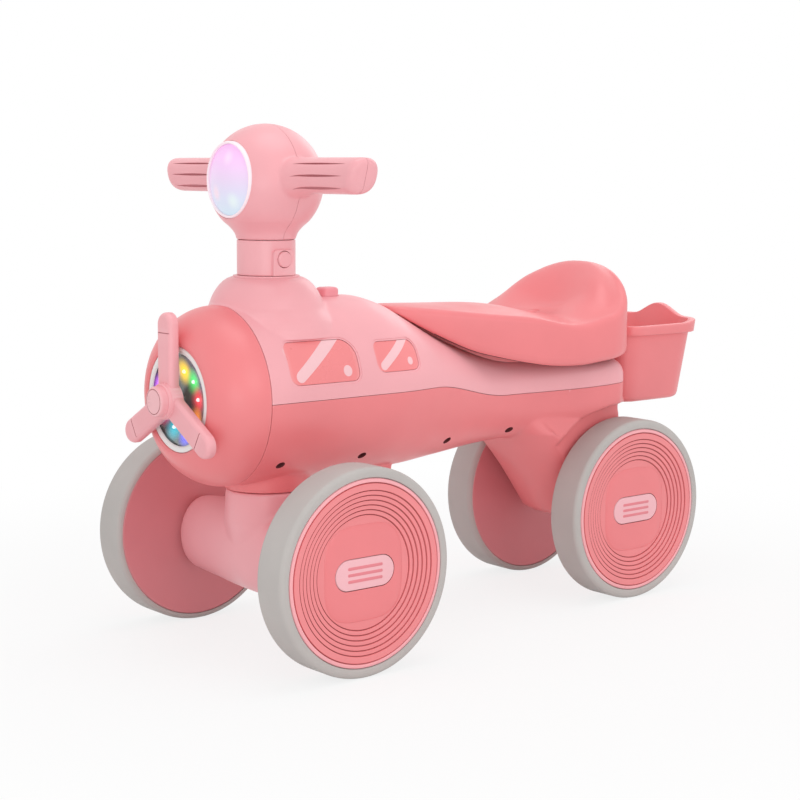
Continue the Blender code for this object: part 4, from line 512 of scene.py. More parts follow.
def fork_profile(shift):
    """Side outline of the rear fork in (y, z)."""
    slope = (FORK_FRONT_LOW[0] - FORK_FRONT_TOP[0]) / (FORK_FRONT_TOP[1] - FORK_FRONT_LOW[1])
    top_y = REAR_AXLE_Y + FORK_FRONT_TOP[0] + shift - (FORK_TOP_Z - FORK_FRONT_TOP[1]) * slope
    low_z = AXLE_Z - FORK_BOSS * 0.45
    low_y = REAR_AXLE_Y + FORK_FRONT_LOW[0] + shift + (FORK_FRONT_LOW[1] - low_z) * slope
    top, low = Vector((top_y, FORK_TOP_Z)), Vector((low_y, low_z))
    points = [top.lerp(low, step / 8) for step in range(9)]
    for angle in range(-100, 1, 10):
        points.append(Vector((REAR_AXLE_Y + FORK_BOSS * cos(radians(angle)),
                              AXLE_Z + FORK_BOSS * sin(radians(angle)))))
    rear = Vector((TAIL_Y - 1.5, FORK_TOP_Z))
    points += [points[-1].lerp(rear, step / 8) for step in range(1, 9)]
    return rounded_outline(points, [FORK_TOE if point == low else 0 for point in points], 5)


def rear_fork():
    """The fork, which spreads out into the body's flanks towards its top."""
    rings = []
    straight = fork_profile(0)
    for angle in range(-90, 91, 6):
        ring = []
        moved = fork_profile(FORK_NOSE_DEPTH * (1 - cos(radians(angle))))
        for plain, point in zip(straight, moved):
            rise = eased((point.y - FORK_SPREAD_Z) / FORK_SPREAD_RISE)
            half = FORK_HALF - 1 + FORK_SPREAD * rise
            y = point.x + (plain.x - point.x) * FORK_FLATTER * rise
            flank, seam, _, below, _, power = hull_section(min(y, TAIL_Y - TAIL_CORNER))
            depth = (seam - point.y) / below
            if depth < 0.75:
                half = min(half, flank * bulge(depth, power) - FORK_SUNK)
            ring.append(Vector((half * sin(radians(angle)), y, point.y)))
        rings.append(ring)
    rings.insert(0, [point + Vector((-1, 0, 0)) for point in rings[0]])
    rings.append([point + Vector((1, 0, 0)) for point in rings[-1]])
    return loft("fork", rings)


def wheel_arches():
    return gathered("arches", [
        rod("arch", ARCH_RADIUS, (side * (FORK_HALF - SEATED), REAR_AXLE_Y, AXLE_Z),
            (side * (HIP_HALF + BEYOND), REAR_AXLE_Y, AXLE_Z), 128) for side in (-1, 1)])


def cowl_profile(foot, grow=0.0):
    """Dome round the column: flat top, then round down to the brim and its foot."""
    top = COWL_TOP_Z - 1.0 + grow
    around = [(radius + grow, top - drop) for radius, drop in COWL_DOME + foot]
    return [(0, top)] + around + [(around[-1][0], top - COWL_DEPTH), (0, top - COWL_DEPTH)]


def beyond_seam(name, upper):
    """Everything on the other side of the seam, with half of the gap between the shells."""
    sign = 1 if upper else -1
    places = [NOSE_JOINT_Y - BEYOND + 5.0 * step for step in range(91)]
    outline = [(y, through(SEAM, y) + sign * SEAM_GAP / 2) for y in places]
    outline += [(places[-1], AXIS_Z - sign * 300), (places[0], AXIS_Z - sign * 300)]
    return crosswise(name, outline, -130.0, 130.0)


MOTTLE_SCALE = 16.0
GLOSS_SCALE = 45.0
NOISE_SPAN = (0.3, 0.7)
# pointiness over which the painted edge highlight comes in
EDGE_HIGHLIGHT_SPAN = (0.53, 0.62)
GRAIN_DEPTH = 0.0002


def mixed(tree, share, first, second):
    return wired(tree, "Mix", {0: share, 6: first, 7: second}, "RGBA")[2]


def moulded(name, colour, roughness=0.36, mottle=0.03, grain=0.05, grain_scale=1900.0,
            highlight_tint=(1.0, 0.86, 0.86), highlight_share=0.30, more=None):
    """Moulded plastic: faintly uneven colour and gloss, a fine grain, and a painted highlight that
    lightens its sharp edges.
    """
    made = bpy.data.materials.new(name)
    made.use_nodes = True
    tree = made.node_tree
    where = wired(tree, "TexCoord", {})["Object"]

    def noise(scale, detail):
        return wired(tree, "TexNoise", {"Vector": where, "Scale": scale, "Detail": detail})["Fac"]

    dark = tuple(value * (1 - mottle) for value in colour)
    light = tuple(min(value * (1 + mottle), 1.0) for value in colour)
    tint = mixed(tree, ranged(tree, noise(MOTTLE_SCALE, 3.0), *NOISE_SPAN, 0.0, 1.0), dark, light)
    # Painted highlight: sharp edges, found by pointiness, are lightened towards the highlight tint.
    edge = ranged(tree, wired(tree, "NewGeometry", {})["Pointiness"], *EDGE_HIGHLIGHT_SPAN, 0.0, highlight_share)
    highlight_colour = tuple(value * 0.45 + pale * 0.55 for value, pale in zip(colour, highlight_tint))
    fine = {"Strength": grain, "Distance": GRAIN_DEPTH, "Height": noise(grain_scale, 2.0)}
    gloss = ranged(tree, noise(GLOSS_SCALE, 4.0), *NOISE_SPAN, roughness - 0.05,
                   roughness + 0.06)
    filled(tree.nodes["Principled BSDF"], {
        "Base Color": mixed(tree, edge, tint, highlight_colour), "Roughness": gloss,
        "Normal": wired(tree, "Bump", fine)["Normal"], **(more or {})})
    return made


def fitted(piece, finish, body, slot, *nodes, crease=35.0):
    """The piece with its finish, riding on its body, in place of its CAD nodes if it has any."""
    if not piece.data.materials:
        piece.data.materials.append(finish)
    piece.data.shade_smooth()
    piece.data.set_sharp_from_angle(angle=radians(crease))
    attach(piece, body)
    if nodes:
        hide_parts(*nodes)


CORAL = (0.870, 0.232, 0.246)
PINK = (0.905, 0.418, 0.452)
coral = moulded("coral_plastic", CORAL)
pink = moulded("pink_plastic", PINK, highlight_tint=(1.0, 0.93, 0.93))
# Near-black coral: painted shade for the walls of the screw recesses and the saddle's underside.
painted_shade_coral = moulded("painted_shade_coral", (0.16, 0.035, 0.038), roughness=0.6)

body = cut(hull("body", NOSE_JOINT_Y - 20, TAIL_Y), wheel_arches())
fork = cut(rear_fork(), wheel_arches())
pad = block("pad", (-BATTERY_HALF - 3, BATTERY_FRONT - 3, BATTERY_PAD_Z),
            (BATTERY_HALF + 3, BATTERY_REAR + 3, BATTERY_PAD_Z + 16))
collar = rod("collar", COLLAR_RADIUS, (0, 0, COLLAR_Z), (0, 0, COLLAR_Z + 16))
cowl = turned("cowl", cowl_profile(COWL_SKIRT), segments=96)
lower_shell = gathered("lower_shell", [body, fork, pad, collar, cowl])
run_together(lower_shell, SKIN_VOXEL, 6)

nose_room = block("nose_room", (-90, NOSE_JOINT_Y - BEYOND, 90),
                  (90, NOSE_JOINT_Y + SEATED / 2, 300))
cowl_front = rod("cowl_front", COWL_BRIM + 0.4, (0, 0, AXIS_Z), (0, 0, COWL_TOP_Z + 2), 128)
cut(cowl_front, hull("nose_skin", NOSE_JOINT_Y - 20, 80, 0.4))
cut(lower_shell, cut(nose_room, cowl_front))

upper_shell = placed("upper_shell", lower_shell.data.copy())
cut(upper_shell, beyond_seam("below", True))
cut(lower_shell, beyond_seam("above", False))

recesses = []
for y, x in SCREW_PLACES:
    for side in (-1, 1):
        half, seam, _, below, _, power = hull_section(y)
        mouth = Vector((side * x, y, seam - below * bulge(x / half, power)))
        lean = Vector((side * SCREW_LEAN[0], 0, SCREW_LEAN[1])) * SCREW_REACH
        recesses.append(rod("recess", SCREW_RECESS, mouth + lean, mouth - lean, 40))
# The recesses' walls get the near-black coral: painted shade inside them.
cut(lower_shell, gathered("recesses", recesses), coral, painted_shade_coral)
openings = [rod("column_room", COLUMN_BORE, (0, 0, 100), (0, 0, 200), 96),
            block("battery_hole", (-BATTERY_HALF, BATTERY_FRONT, BATTERY_PAD_Z - 4),
                  (BATTERY_HALF, BATTERY_REAR, BATTERY_PAD_Z + 2.7))]
slot_x, slot_y = SOUND_SLOT_HALF
for y in SOUND_SLOTS:
    low = through(BOTTOMS, y)
    openings.append(block("sound_slot", (-slot_x, y - slot_y, low - 6),
                          (slot_x, y + slot_y, low + 4)))
cut(lower_shell, gathered("openings_below", openings))
slots = []
rooms = []
for side in (-1, 1):
    near, far = sorted((side * (HOOK_NEAR - SEATED), side * (HOOK_FAR + SEATED)))
    slots.append(block("hook_slot", (near, TAIL_Y - 8, HOOK_TOP_Z - HOOK_ARM - SEATED),
                       (far, TAIL_Y + 3, HOOK_TOP_Z + 8 + SEATED)))
    rooms.append(block("hook_room", (near - 1, TAIL_Y - 12, HOOK_TOP_Z - 17),
                       (far + 1, TAIL_Y - 2.6, HOOK_TOP_Z + 10)))
cut(lower_shell, gathered("hook_slots", slots))
cut(lower_shell, gathered("hook_rooms", rooms))
fitted(lower_shell, coral, "airframe", "coral_plastic", "body_lower_shell")

# Openings of the upper shell
# Four stepped recesses take the side windows, and two holes in the roof the steering column and
# the music button. A thin lip closes the cowl round the column.

COWL_LIP = 24.6
BUTTON_Y = 56.0
BUTTON_HALF = (7.0, 7.5)
BUTTON_ROUND = 4.5
WINDOW_ROUNDS = (8.0, 6.0, 5.5)  # lower front, lower rear and upper front corner
WINDOW_STEP = 0.4
WINDOW_RIM = 1.5
WINDOW_DEPTH = 2.1
# name; front, rear, lower and upper edge, and the radius of the swept upper rear corner;
# ends of the slanting bar and its width; the dot's centre and size
WINDOWS = (
    ("front", (-24.0, 38.0, 202.5, 232.5, 13.0), ((-14.5, 208.5), (24.0, 236.0), 8.2),
     ((27.5, 210.2), (7.6, 8.0))),
    ("rear", (55.0, 97.0, 206.5, 229.0, 9.0), ((61.8, 211.4), (89.5, 231.5), 6.4),
     ((88.0, 213.4), (5.4, 5.8))))


def rounded_box(low, high, radii, steps=6):
    corners = [low, (high[0], low[1]), high, (low[0], high[1])]
    return rounded_outline(corners, radii, steps)


def level(outline, z):
    """A level ring over an outline in (x, y)."""
    return [Vector((x, y, z)) for x, y in outline]


def window_outline(edges, shrink):
    front, rear, low, high, sweep = edges
    low_front, low_rear, high_front = WINDOW_ROUNDS
    radii = [radius - shrink for radius in (low_front, low_rear, sweep, high_front)]
    return rounded_box((front + shrink, low + shrink), (rear - shrink, high - shrink), radii, 8)


def button_plan(grow):
    half_x, half_y = BUTTON_HALF[0] + grow, BUTTON_HALF[1] + grow
    return rounded_box((-half_x, BUTTON_Y - half_y), (half_x, BUTTON_Y + half_y),
                       [max(BUTTON_ROUND + grow, 0.8)] * 4)


for depth, shrink in ((WINDOW_STEP, -WINDOW_RIM), (WINDOW_DEPTH, 0.0)):
    for _, edges, _, _ in WINDOWS:
        room = crosswise("window_room", window_outline(edges, shrink), -HULL_RADIUS - BEYOND,
                         HULL_RADIUS + BEYOND)
        cut(upper_shell, cut(room, hull("core", edges[0] - 12, edges[1] + 12, depth)))
button_room = [level(button_plan(0.5), z) for z in (ROOF_Z - 9, ROOF_Z + 20)]
cut(upper_shell, gathered("openings", [
    rod("column_room", COLUMN_BORE, (0, 0, 180), (0, 0, COWL_TOP_Z + 4), 96),
    loft("button_room", button_room)]))
fitted(upper_shell, pink, "airframe", "pink_plastic", "body_upper_shell")

cowl_lip = turned("cowl_lip", [
    (COLUMN_BORE, COWL_TOP_Z - 2.0), (COLUMN_BORE, COWL_TOP_Z), (COWL_LIP - 0.6, COWL_TOP_Z),
    (COWL_LIP - 0.15, COWL_TOP_Z - 0.2), (COWL_LIP, COWL_TOP_Z - 0.6),
    (COWL_LIP - 0.4, COWL_TOP_Z - 2.0)])
fitted(cowl_lip, pink, "airframe", "pink_plastic", crease=40)

# Side windows
# Each side has a large and a small window: a coral plate in its recess, with two pale printed
# glints, a slanting bar and a dot.

WINDOW_SINK = 0.9
WINDOW_PLATE = 1.1
GLINT_PROUD = 0.12
GLINT_THICK = 0.4


def span_at(outline, z):
    """Where a level line enters and leaves a convex outline in (y, z)."""
    meets = []
    for index, here in enumerate(outline):
        before = outline[index - 1]
        if (before.y - z) * (here.y - z) <= 0 and before.y != here.y:
            meets.append(before.x + (here.x - before.x) * (z - before.y) / (here.y - before.y))
    return min(meets), max(meets)


def skin_point(y, z, inset, side):
    half, seam, above, _, power, _ = hull_section(y, inset)
    return Vector((side * half * bulge((z - seam) / above, power), y, z))


def skin_plate(name, outline, low, high, inset, thick, side):
    """A thin plate that follows the hull's skin inside an outline."""
    shape = bmesh.new()
    rows, columns = 26, 18
    layers = []
    for depth in (inset, inset + thick):
        grid = []
        for row in range(rows + 1):
            share = 0.5 - 0.5 * cos(pi * row / rows)
            z = low + (high - low) * within(share, 0.002, 0.998)
            first, last = span_at(outline, z)
            grid.append([shape.verts.new(skin_point(first + (last - first) * column / columns, z,
                                                    depth, side))
                         for column in range(columns + 1)])
        layers.append(grid)
        for row in range(rows):
            for column in range(columns):
                shape.faces.new((grid[row][column], grid[row][column + 1],
                                 grid[row + 1][column + 1], grid[row + 1][column]))
    outer, inner = layers
    rim = [(0, column) for column in range(columns)] + [(row, columns) for row in range(rows)]
    rim += [(rows, column) for column in range(columns, 0, -1)]
    rim += [(row, 0) for row in range(rows, 0, -1)]
    for (row, column), (next_row, next_column) in zip(rim, rim[1:] + rim[:1]):
        shape.faces.new((outer[row][column], outer[next_row][next_column],
                         inner[next_row][next_column], inner[row][column]))
    return solid_from(name, shape)


def bar_outline(start, stop, width):
    """A slanting bar with round ends."""
    start, stop = Vector(start), Vector(stop)
    along = (stop - start).normalized() * (width / 2)
    return [centre + Matrix.Rotation(radians(first + 15 * step), 2) @ along
            for centre, first in ((stop, -90), (start, 90)) for step in range(13)]


def oval_outline(centre, size):
    return [Vector((centre[0] + size[0] / 2 * cos(angle), centre[1] + size[1] / 2 * sin(angle)))
            for angle in round_angles(36)]


window_coral = moulded("window_coral", (0.915, 0.262, 0.270), roughness=0.30)
glint_pink = moulded("glint_pink", (0.94, 0.57, 0.60), roughness=0.34)
for side, word in ((1, "left"), (-1, "right")):
    for place, edges, (start, stop, width), (dot, dot_size) in WINDOWS:
        name = place + "_window_" + word
        low, high = edges[2] + SEATED, edges[3] - SEATED
        plate = skin_plate(name + "_plate", window_outline(edges, SEATED), low, high,
                           WINDOW_SINK, WINDOW_PLATE, side)
        fitted(plate, window_coral, "airframe", "window_plastic", name)
        dot_half = dot_size[1] / 2
        for kind, outline, low, high in (
                ("_bar", bar_outline(start, stop, width), start[1] - width / 2 + 0.01, high),
                ("_dot", oval_outline(dot, dot_size), dot[1] - dot_half, dot[1] + dot_half)):
            glint = skin_plate(name + kind, outline, low, high, WINDOW_SINK - GLINT_PROUD,
                               GLINT_THICK, side)
            fitted(glint, glint_pink, "airframe", "window_plastic", crease=40)

# Nose cone
# A round coral moulding, domed in front, that closes the fuselage and carries the nose lamp.
# It is notched for the foot of the cowl and fixed from inside.

NOSE_TIP_Y = -79.0
NOSE_OPENING = 38.3
NOSE_LEDGE = 33.5
NOSE_LEDGE_Y = -74.0
NOSE_BACK_Y = NOSE_JOINT_Y - SEATED / 2
NOSE_LIP = NOSE_OPENING + 2.2


def nose_turned(name, profile, segments=128):
    """Turned about the fuselage's axis; distances are places along Y."""
    return turned(name, profile, (0, 0, AXIS_Z), (0, 1, 0), segments)


profile = [(HULL_RADIUS - 4, NOSE_BACK_Y), (HULL_RADIUS - 0.4, NOSE_BACK_Y),
           (HULL_RADIUS, NOSE_BACK_Y - 0.4)]
for step in range(1, 25):
    angle = radians(90 - 90 * step / 24)
    profile.append((NOSE_LIP + (HULL_RADIUS - NOSE_LIP) * sin(angle) ** 1.3,
                    NOSE_BACK_Y - (NOSE_BACK_Y - NOSE_TIP_Y) * cos(angle)))
profile += [(NOSE_LIP - 0.9, NOSE_TIP_Y + 0.1), (NOSE_OPENING + 0.3, NOSE_TIP_Y + 0.5),
            (NOSE_OPENING, NOSE_TIP_Y + 1.2), (NOSE_OPENING, NOSE_LEDGE_Y),
            (NOSE_LEDGE, NOSE_LEDGE_Y), (NOSE_LEDGE, NOSE_LEDGE_Y + 3), (60.0, NOSE_BACK_Y)]
nose_cone = nose_turned("nose_cone_moulding", profile)
cut(nose_cone, turned("cowl_notch", cowl_profile(COWL_FOOT, 0.5)))
fitted(nose_cone, coral, "airframe", "coral_plastic", "nose_cone", crease=40)

# Nose lamp
# A white bezel holds a clear domed lens over a silvered dish, where small lamps of changing
# colours glow. Round each lamp the dish is painted in its colour and glows: a painted pool of
# its light. The parts lie one on another on the nose cone's ledge.

BEZEL_INNER = 33.5
LAMP_EDGE = NOSE_OPENING - SEATED
DISH_BACK_Y = NOSE_LEDGE_Y - SEATED
DISH_FRONT_Y = DISH_BACK_Y - 0.8
DISH_FLOOR_Y = -71.0
DISH_FLOOR = 12.0
DISH_WALL = 1.2
LENS_BACK_Y = DISH_FRONT_Y - SEATED
LENS_FRONT_Y = LENS_BACK_Y - 1.5
LENS_DOME = 2.2
PIN_RADIUS = 3.0
PIN_HOLE = PIN_RADIUS + SEATED
# reach of the light painted onto the dish round each small lamp
PAINTED_GLOW_NEAR = 0.001
PAINTED_GLOW_FAR = 0.0120
# angle round the nose, seen from in front, distance from its middle, and colour of each small lamp
GLOWS = (
    (86, 20, (0.95, 0.62, 0.04)), (46, 19, (0.05, 0.70, 0.13)), (4, 19, (0.85, 0.06, 0.08)),
    (-38, 21, (0.90, 0.30, 0.05)), (-80, 25, (0.16, 0.14, 0.95)), (-118, 24, (0.02, 0.46, 0.56)),
    (-154, 26, (0.75, 0.12, 0.30)), (166, 28, (0.62, 0.12, 0.95)), (124, 25, (0.45, 0.15, 0.80)))
BULB = ((0.0, -1.2), (0.7, -1.05), (1.2, -0.6), (1.4, 0.0), (1.4, 1.4), (0.0, 1.4))


def dish_y(radius):
    """Depth of the silvered dish at a distance from its axis."""
    share = within((radius - DISH_FLOOR) / (NOSE_LEDGE - DISH_FLOOR), 0.0, 1.0)
    return DISH_FLOOR_Y + (NOSE_LEDGE_Y - 1.1 - DISH_FLOOR_Y) * share ** 1.5


def lens_y(radius, edge_y):
    return edge_y - LENS_DOME * (1 - (radius / BEZEL_INNER) ** 2)


def glow_place(angle, radius):
    return Vector((radius * cos(radians(angle)), dish_y(radius) - 0.6,
                   AXIS_Z + radius * sin(radians(angle))))


def in_frame(point):
    return Vector((point[0] * MM, point[1] * MM + COLUMN_Y, point[2] * MM))


def glow_round(tree, place, near, far, most):
    """The strength of a glow round a place: most near it, and none from far on."""
    where = wired(tree, "TexCoord", {})["Object"]
    gap = wired(tree, "VectorMath", {0: where, 1: in_frame(place)}, "DISTANCE")["Value"]
    return ranged(tree, gap, near, far, most, 0.0, "SMOOTHSTEP")


silver = moulded("silvered_dish", (0.20, 0.22, 0.20), roughness=0.22, highlight_share=0.0,
                 more={"Metallic": 0.6})
tree = silver.node_tree
shader = tree.nodes["Principled BSDF"]
colours = shader.inputs["Base Color"].links[0].from_socket
# Painted light: the dish glows faintly all over, and round each small lamp its colour and glow take
# that lamp's colour, a painted pool of light.
lights = (0.03, 0.03, 0.03)
for angle, radius, colour in GLOWS:
    share = glow_round(tree, glow_place(angle, radius), PAINTED_GLOW_NEAR, PAINTED_GLOW_FAR, 1.0)
    colours = mixed(tree, share, colours, colour)
    lights = mixed(tree, share, lights, colour)
filled(shader, {"Base Color": colours, "Emission Color": lights, "Emission Strength": 0.9})

radii = [NOSE_LEDGE - SEATED - 1.2 - (NOSE_LEDGE - 1.5 - DISH_FLOOR) * step / 16
         for step in range(17)]
dish = nose_turned("silvered_dish", [(LAMP_EDGE, DISH_BACK_Y), (LAMP_EDGE, DISH_FRONT_Y)]
                   + [(radius, dish_y(radius)) for radius in radii]
                   + [(PIN_HOLE, DISH_FLOOR_Y - DISH_WALL), (PIN_HOLE, DISH_FLOOR_Y)]
                   + [(radius, dish_y(radius) + DISH_WALL) for radius in reversed(radii)])
fitted(dish, silver, "airframe", "silvered_plastic", "nose_reflector")

bulbs = []
for angle, radius, colour in GLOWS:
    lit = bpy.data.materials.new("bulb")
    lit.use_nodes = True
    pale = tuple(value * 0.35 + 0.65 for value in colour)
    filled(lit.node_tree.nodes["Principled BSDF"], {
        "Base Color": pale, "Roughness": 0.25, "Emission Color": pale, "Emission Strength": 1.0})
    bulb = turned("bulb", BULB, glow_place(angle, radius), (0, 1, 0), 24)
    bulb.data.materials.append(lit)
    bulbs.append(bulb)
small_lamps = gathered("small_lamps", bulbs)
fitted(small_lamps, silver, "airframe", "clear_plastic", crease=180)

clear = moulded("clear_lens", (0.97, 0.98, 0.99), roughness=0.07, mottle=0.0, grain=0.01,
                highlight_share=0.0, more={"Transmission Weight": 1.0, "IOR": 1.25})
domes = [(BEZEL_INNER - SEATED) * (1 - step / 10) for step in range(10)]
lens = nose_turned("clear_lens", [(LAMP_EDGE, LENS_BACK_Y), (LAMP_EDGE, LENS_FRONT_Y)]
                   + [(radius, lens_y(radius, LENS_FRONT_Y)) for radius in domes]
                   + [(PIN_HOLE, LENS_FRONT_Y - LENS_DOME), (PIN_HOLE, LENS_FRONT_Y - 0.7)]
                   + [(radius - 1, lens_y(radius, LENS_BACK_Y)) for radius in domes[-2::-1]])
fitted(lens, clear, "airframe", "clear_plastic", "nose_lens")

white = moulded("white_bezel", (0.86, 0.845, 0.83), roughness=0.30, highlight_tint=WHITE)
bezel = nose_turned("white_bezel", [
    (LAMP_EDGE, LENS_FRONT_Y - SEATED), (LAMP_EDGE, NOSE_TIP_Y + 1.1),
    (LAMP_EDGE - 0.4, NOSE_TIP_Y + 0.7), (LAMP_EDGE - 1.4, NOSE_TIP_Y + 0.5),
    (BEZEL_INNER + 1.6, NOSE_TIP_Y + 0.6), (BEZEL_INNER + 0.7, NOSE_TIP_Y + 0.9),
    (BEZEL_INNER, NOSE_TIP_Y + 1.6), (BEZEL_INNER, LENS_FRONT_Y - SEATED)])
fitted(bezel, white, "airframe", "white_plastic", "nose_bezel")

# Propeller
# Three paddle blades and a stepped hub in one pink moulding, which spins on a steel pin. Each
# blade is bevelled along its front and has a fine groove across it near the tip.

BLADE_BACK_Y = -81.6
BLADE_FACE_Y = -89.4
BLADE_EDGE_Y = BLADE_BACK_Y - 4.0
BLADE_BEVEL = 3.2
BLADE_TIP = 62.8
BLADE_HALF = 9.0
BLADE_GROOVE = 48.3              # from the hub's middle
HUB_NOSE_Y = -98.0
HUB_RADIUS = 13.4
HUB_STEPS = (
    (0, 0), (8.9, 0), (9.9, 0.3), (10.6, 1.0), (10.9, 2.0), (10.9, 4.6), (11.1, 5.6), (11.8, 5.6),
    (12.1, 5.9), (12.3, 6.9), (12.6, 7.7), (HUB_RADIUS - 0.3, 7.7), (HUB_RADIUS, 8.3))
# Darker pink: painted shade inside the grooves of pink mouldings.
painted_shade_pink = moulded("painted_shade_pink", (0.60, 0.21, 0.235), roughness=0.5)


def blade(angle):
    """A paddle made in levels from its back to its front face."""
    angle = radians(angle)
    along = Vector((cos(angle), 0, sin(angle)))
    across = Vector((-sin(angle), 0, cos(angle)))

    def ring(outline, y):
        return [Vector((0, y, AXIS_Z)) + along * u + across * v for u, v in outline]

    levels = [(0.9, BLADE_BACK_Y), (0.3, BLADE_BACK_Y - 0.3), (0.0, BLADE_BACK_Y - 0.9),
              (0.0, BLADE_EDGE_Y)]
    for step in range(1, 8):
        turn = radians(90 * step / 7)
        levels.append((BLADE_BEVEL * (1 - cos(turn)),
                       BLADE_EDGE_Y + (BLADE_FACE_Y - BLADE_EDGE_Y) * sin(turn)))
    rings = []
    for inset, y in levels:
        half = BLADE_HALF - inset
        turns = [-pi / 2 + pi * step / 24 for step in range(25)]
        tip = [(BLADE_TIP - BLADE_HALF + half * cos(turn), half * sin(turn)) for turn in turns]
        rings.append(ring([(2.0, -half)] + tip + [(2.0, half)], y))
    # The groove across the blade is lined with the darker pink: painted shade.
    near, far = BLADE_GROOVE - 0.35, BLADE_GROOVE + 0.35
    corners = ((near, -12), (far, -12), (far, 12), (near, 12))
    groove = loft("groove", [ring(corners, BLADE_FACE_Y + 0.55), ring(corners, BLADE_FACE_Y - 3)])
    return cut(loft("blade", rings), groove, pink, painted_shade_pink)


spinner = nose_turned("spinner", [(radius, HUB_NOSE_Y + back) for radius, back in HUB_STEPS]
                      + [(HUB_RADIUS, BLADE_BACK_Y + 0.5), (0, BLADE_BACK_Y + 0.5)], 96)
spinner.data.materials.append(pink)
for angle in (90, 210, 330):
    combined(spinner, blade(angle), "UNION")
# The fine ring round the hub's face is lined with the darker pink too: painted shade.
hub_line = [(8.6, -1), (8.6, 0.6), (9.2, 0.6), (9.2, -1)]
cut(spinner, nose_turned("hub_line", [(radius, HUB_NOSE_Y + back) for radius, back in hub_line],
                         96), pink, painted_shade_pink)
cut(spinner, rod("pin_bore", PIN_RADIUS + 0.4, (0, BLADE_BACK_Y + 5, AXIS_Z),
                 (0, HUB_NOSE_Y + 3.6, AXIS_Z), 32))
fitted(spinner, pink, "propeller", "pink_plastic", "propeller", crease=38)

# Saddle
# A coral moulding with a narrow tongue in front and a broad dished seat behind, which rises to a
# rounded back. Its skirt overhangs the waist, and one screw in the dish holds it down.

SEAT_TIP_Y = 102.0
SEAT_WIDE_Y = 284.0
SEAT_REAR_Y = 334.0
SEAT_HALF = 77.0
SEAT_CORNER_POWER = 2.6
SEAT_MID_Z = 249.0
SEAT_DISH_Y = SEAT_WIDE_Y - 14.0
SEAT_DISH_Z = 237.0
SEAT_DISH_DEPTH = 56.0
SEAT_CREST_HALF = 73.0
SEAT_CANTLE = 39.5
SEAT_SHOULDER = 7.0
SEAT_SKIRT_Z = 199.0
SEAT_ROLL = 7.0
SEAT_CLEAR = 0.4                 # over the body's roof
SEAT_SHELL = 3.0
SEAT_FOOT = 60.0                 # the middle is solid down to the body's roof
SEAT_LEAST = 0.6                 # the rim is at least this thick
SEAT_DEEP = 30.0                 # and its lower edge is rolled fully where it is this deep
SEAT_CREST_POWER = 2.4
SEAT_DISH_FLAT = 0.16            # share of the dish's reach that stays flat
SEAT_RISE_AHEAD = 12.0           # the rear starts to rise this far before the dish's middle
SEAT_RISE_RUN = 50.0


def seat_run(share):
    """A place at a share of the way from the saddle's tip to its widest place."""
    return SEAT_TIP_Y + share * (SEAT_WIDE_Y - SEAT_TIP_Y)


SEAT_WIDTHS = (
    (SEAT_TIP_Y, 0.0), (seat_run(0.05), 17.0), (seat_run(0.21), 33.0), (seat_run(0.54), 56.0),
    (seat_run(0.81), SEAT_HALF - 5.0), (SEAT_WIDE_Y, SEAT_HALF))
SEAT_LINE = (
    (SEAT_TIP_Y, 251.6), (seat_run(0.26), SEAT_MID_Z + 1), (seat_run(0.62), SEAT_MID_Z - 2),
    (SEAT_DISH_Y, SEAT_DISH_Z), (SEAT_REAR_Y, 239.0))
SEAT_CROWN = (
    (SEAT_TIP_Y, 1.0), (seat_run(0.26), 5.0), (seat_run(0.54), 9.0), (seat_run(0.73), 9.0),
    (SEAT_DISH_Y + 15, 2.0), (SEAT_REAR_Y, 0.0))
SEAT_EDGES = (
    (SEAT_TIP_Y, 250.0), (seat_run(0.055), 243.5), (seat_run(0.14), 234.0),
    (seat_run(0.265), 222.0), (seat_run(0.37), 213.5), (seat_run(0.47), 208.5),
    (seat_run(0.605), 203.0), (seat_run(0.73), SEAT_SKIRT_Z + 0.5),
    (SEAT_DISH_Y - 12, SEAT_SKIRT_Z), (SEAT_WIDE_Y, SEAT_SKIRT_Z + 2.5),
    (SEAT_REAR_Y, SEAT_SKIRT_Z + 7))


def seat_plan():
    """Outline of the saddle seen from above, from the tip round to the tip."""
    half = []
    for step in range(26):
        y = SEAT_TIP_Y + (SEAT_WIDE_Y - SEAT_TIP_Y) * 0.92 * (step / 25) ** 1.5
        half.append((through(SEAT_WIDTHS, y), y))
    for step in range(1, 25):
        turn = radians(90 - 90 * step / 24)
        half.append((SEAT_HALF * powered(sin(turn), SEAT_CORNER_POWER),
                     SEAT_WIDE_Y + (SEAT_REAR_Y - SEAT_WIDE_Y)
                     * powered(cos(turn), SEAT_CORNER_POWER)))
    return half + [(-x, y) for x, y in reversed(half[1:-1])]


def seat_top(x, y):
    """Height of the upper face: flat tongue, dish, and the back rising round it."""
    width = max(through(SEAT_WIDTHS, min(y, SEAT_WIDE_Y)), 1.0)
    height = through(SEAT_LINE, y) - through(SEAT_CROWN, y) * min(abs(x) / width, 1.0) ** 2
    crest = SEAT_CANTLE * max(1 - (abs(x) / SEAT_CREST_HALF) ** SEAT_CREST_POWER, 0.0)
    climb = hypot((y - SEAT_DISH_Y) / SEAT_DISH_DEPTH, x / SEAT_CREST_HALF)
    behind = eased((y - SEAT_DISH_Y + SEAT_RISE_AHEAD) / SEAT_RISE_RUN)
    return height + crest * eased((climb - SEAT_DISH_FLAT) / (1 - SEAT_DISH_FLAT)) * behind


def seat_point(place, share=1.0, inset=0.0):
    """A point of the plan, drawn in towards the saddle's spine."""
    x, y = place
    spine = within(y, SEAT_TIP_Y + 20, SEAT_REAR_Y - 40)
    reach = hypot(x, y - spine)
    share = share * max(reach - inset, 0.0) / max(reach, 1e-6)
    return x * share, spine + (y - spine) * share


def over_roof(x, y, z):
    """A height, or just over the body's roof where that is higher."""
    half, seam, above, _, power, _ = hull_section(within(y, NOSE_JOINT_Y, TAIL_Y))
    return max(z, seam + above * bulge(abs(x) / half, power) + SEAT_CLEAR)


def seat_edge(x, y):
    return over_roof(x, y, through(SEAT_EDGES, y))


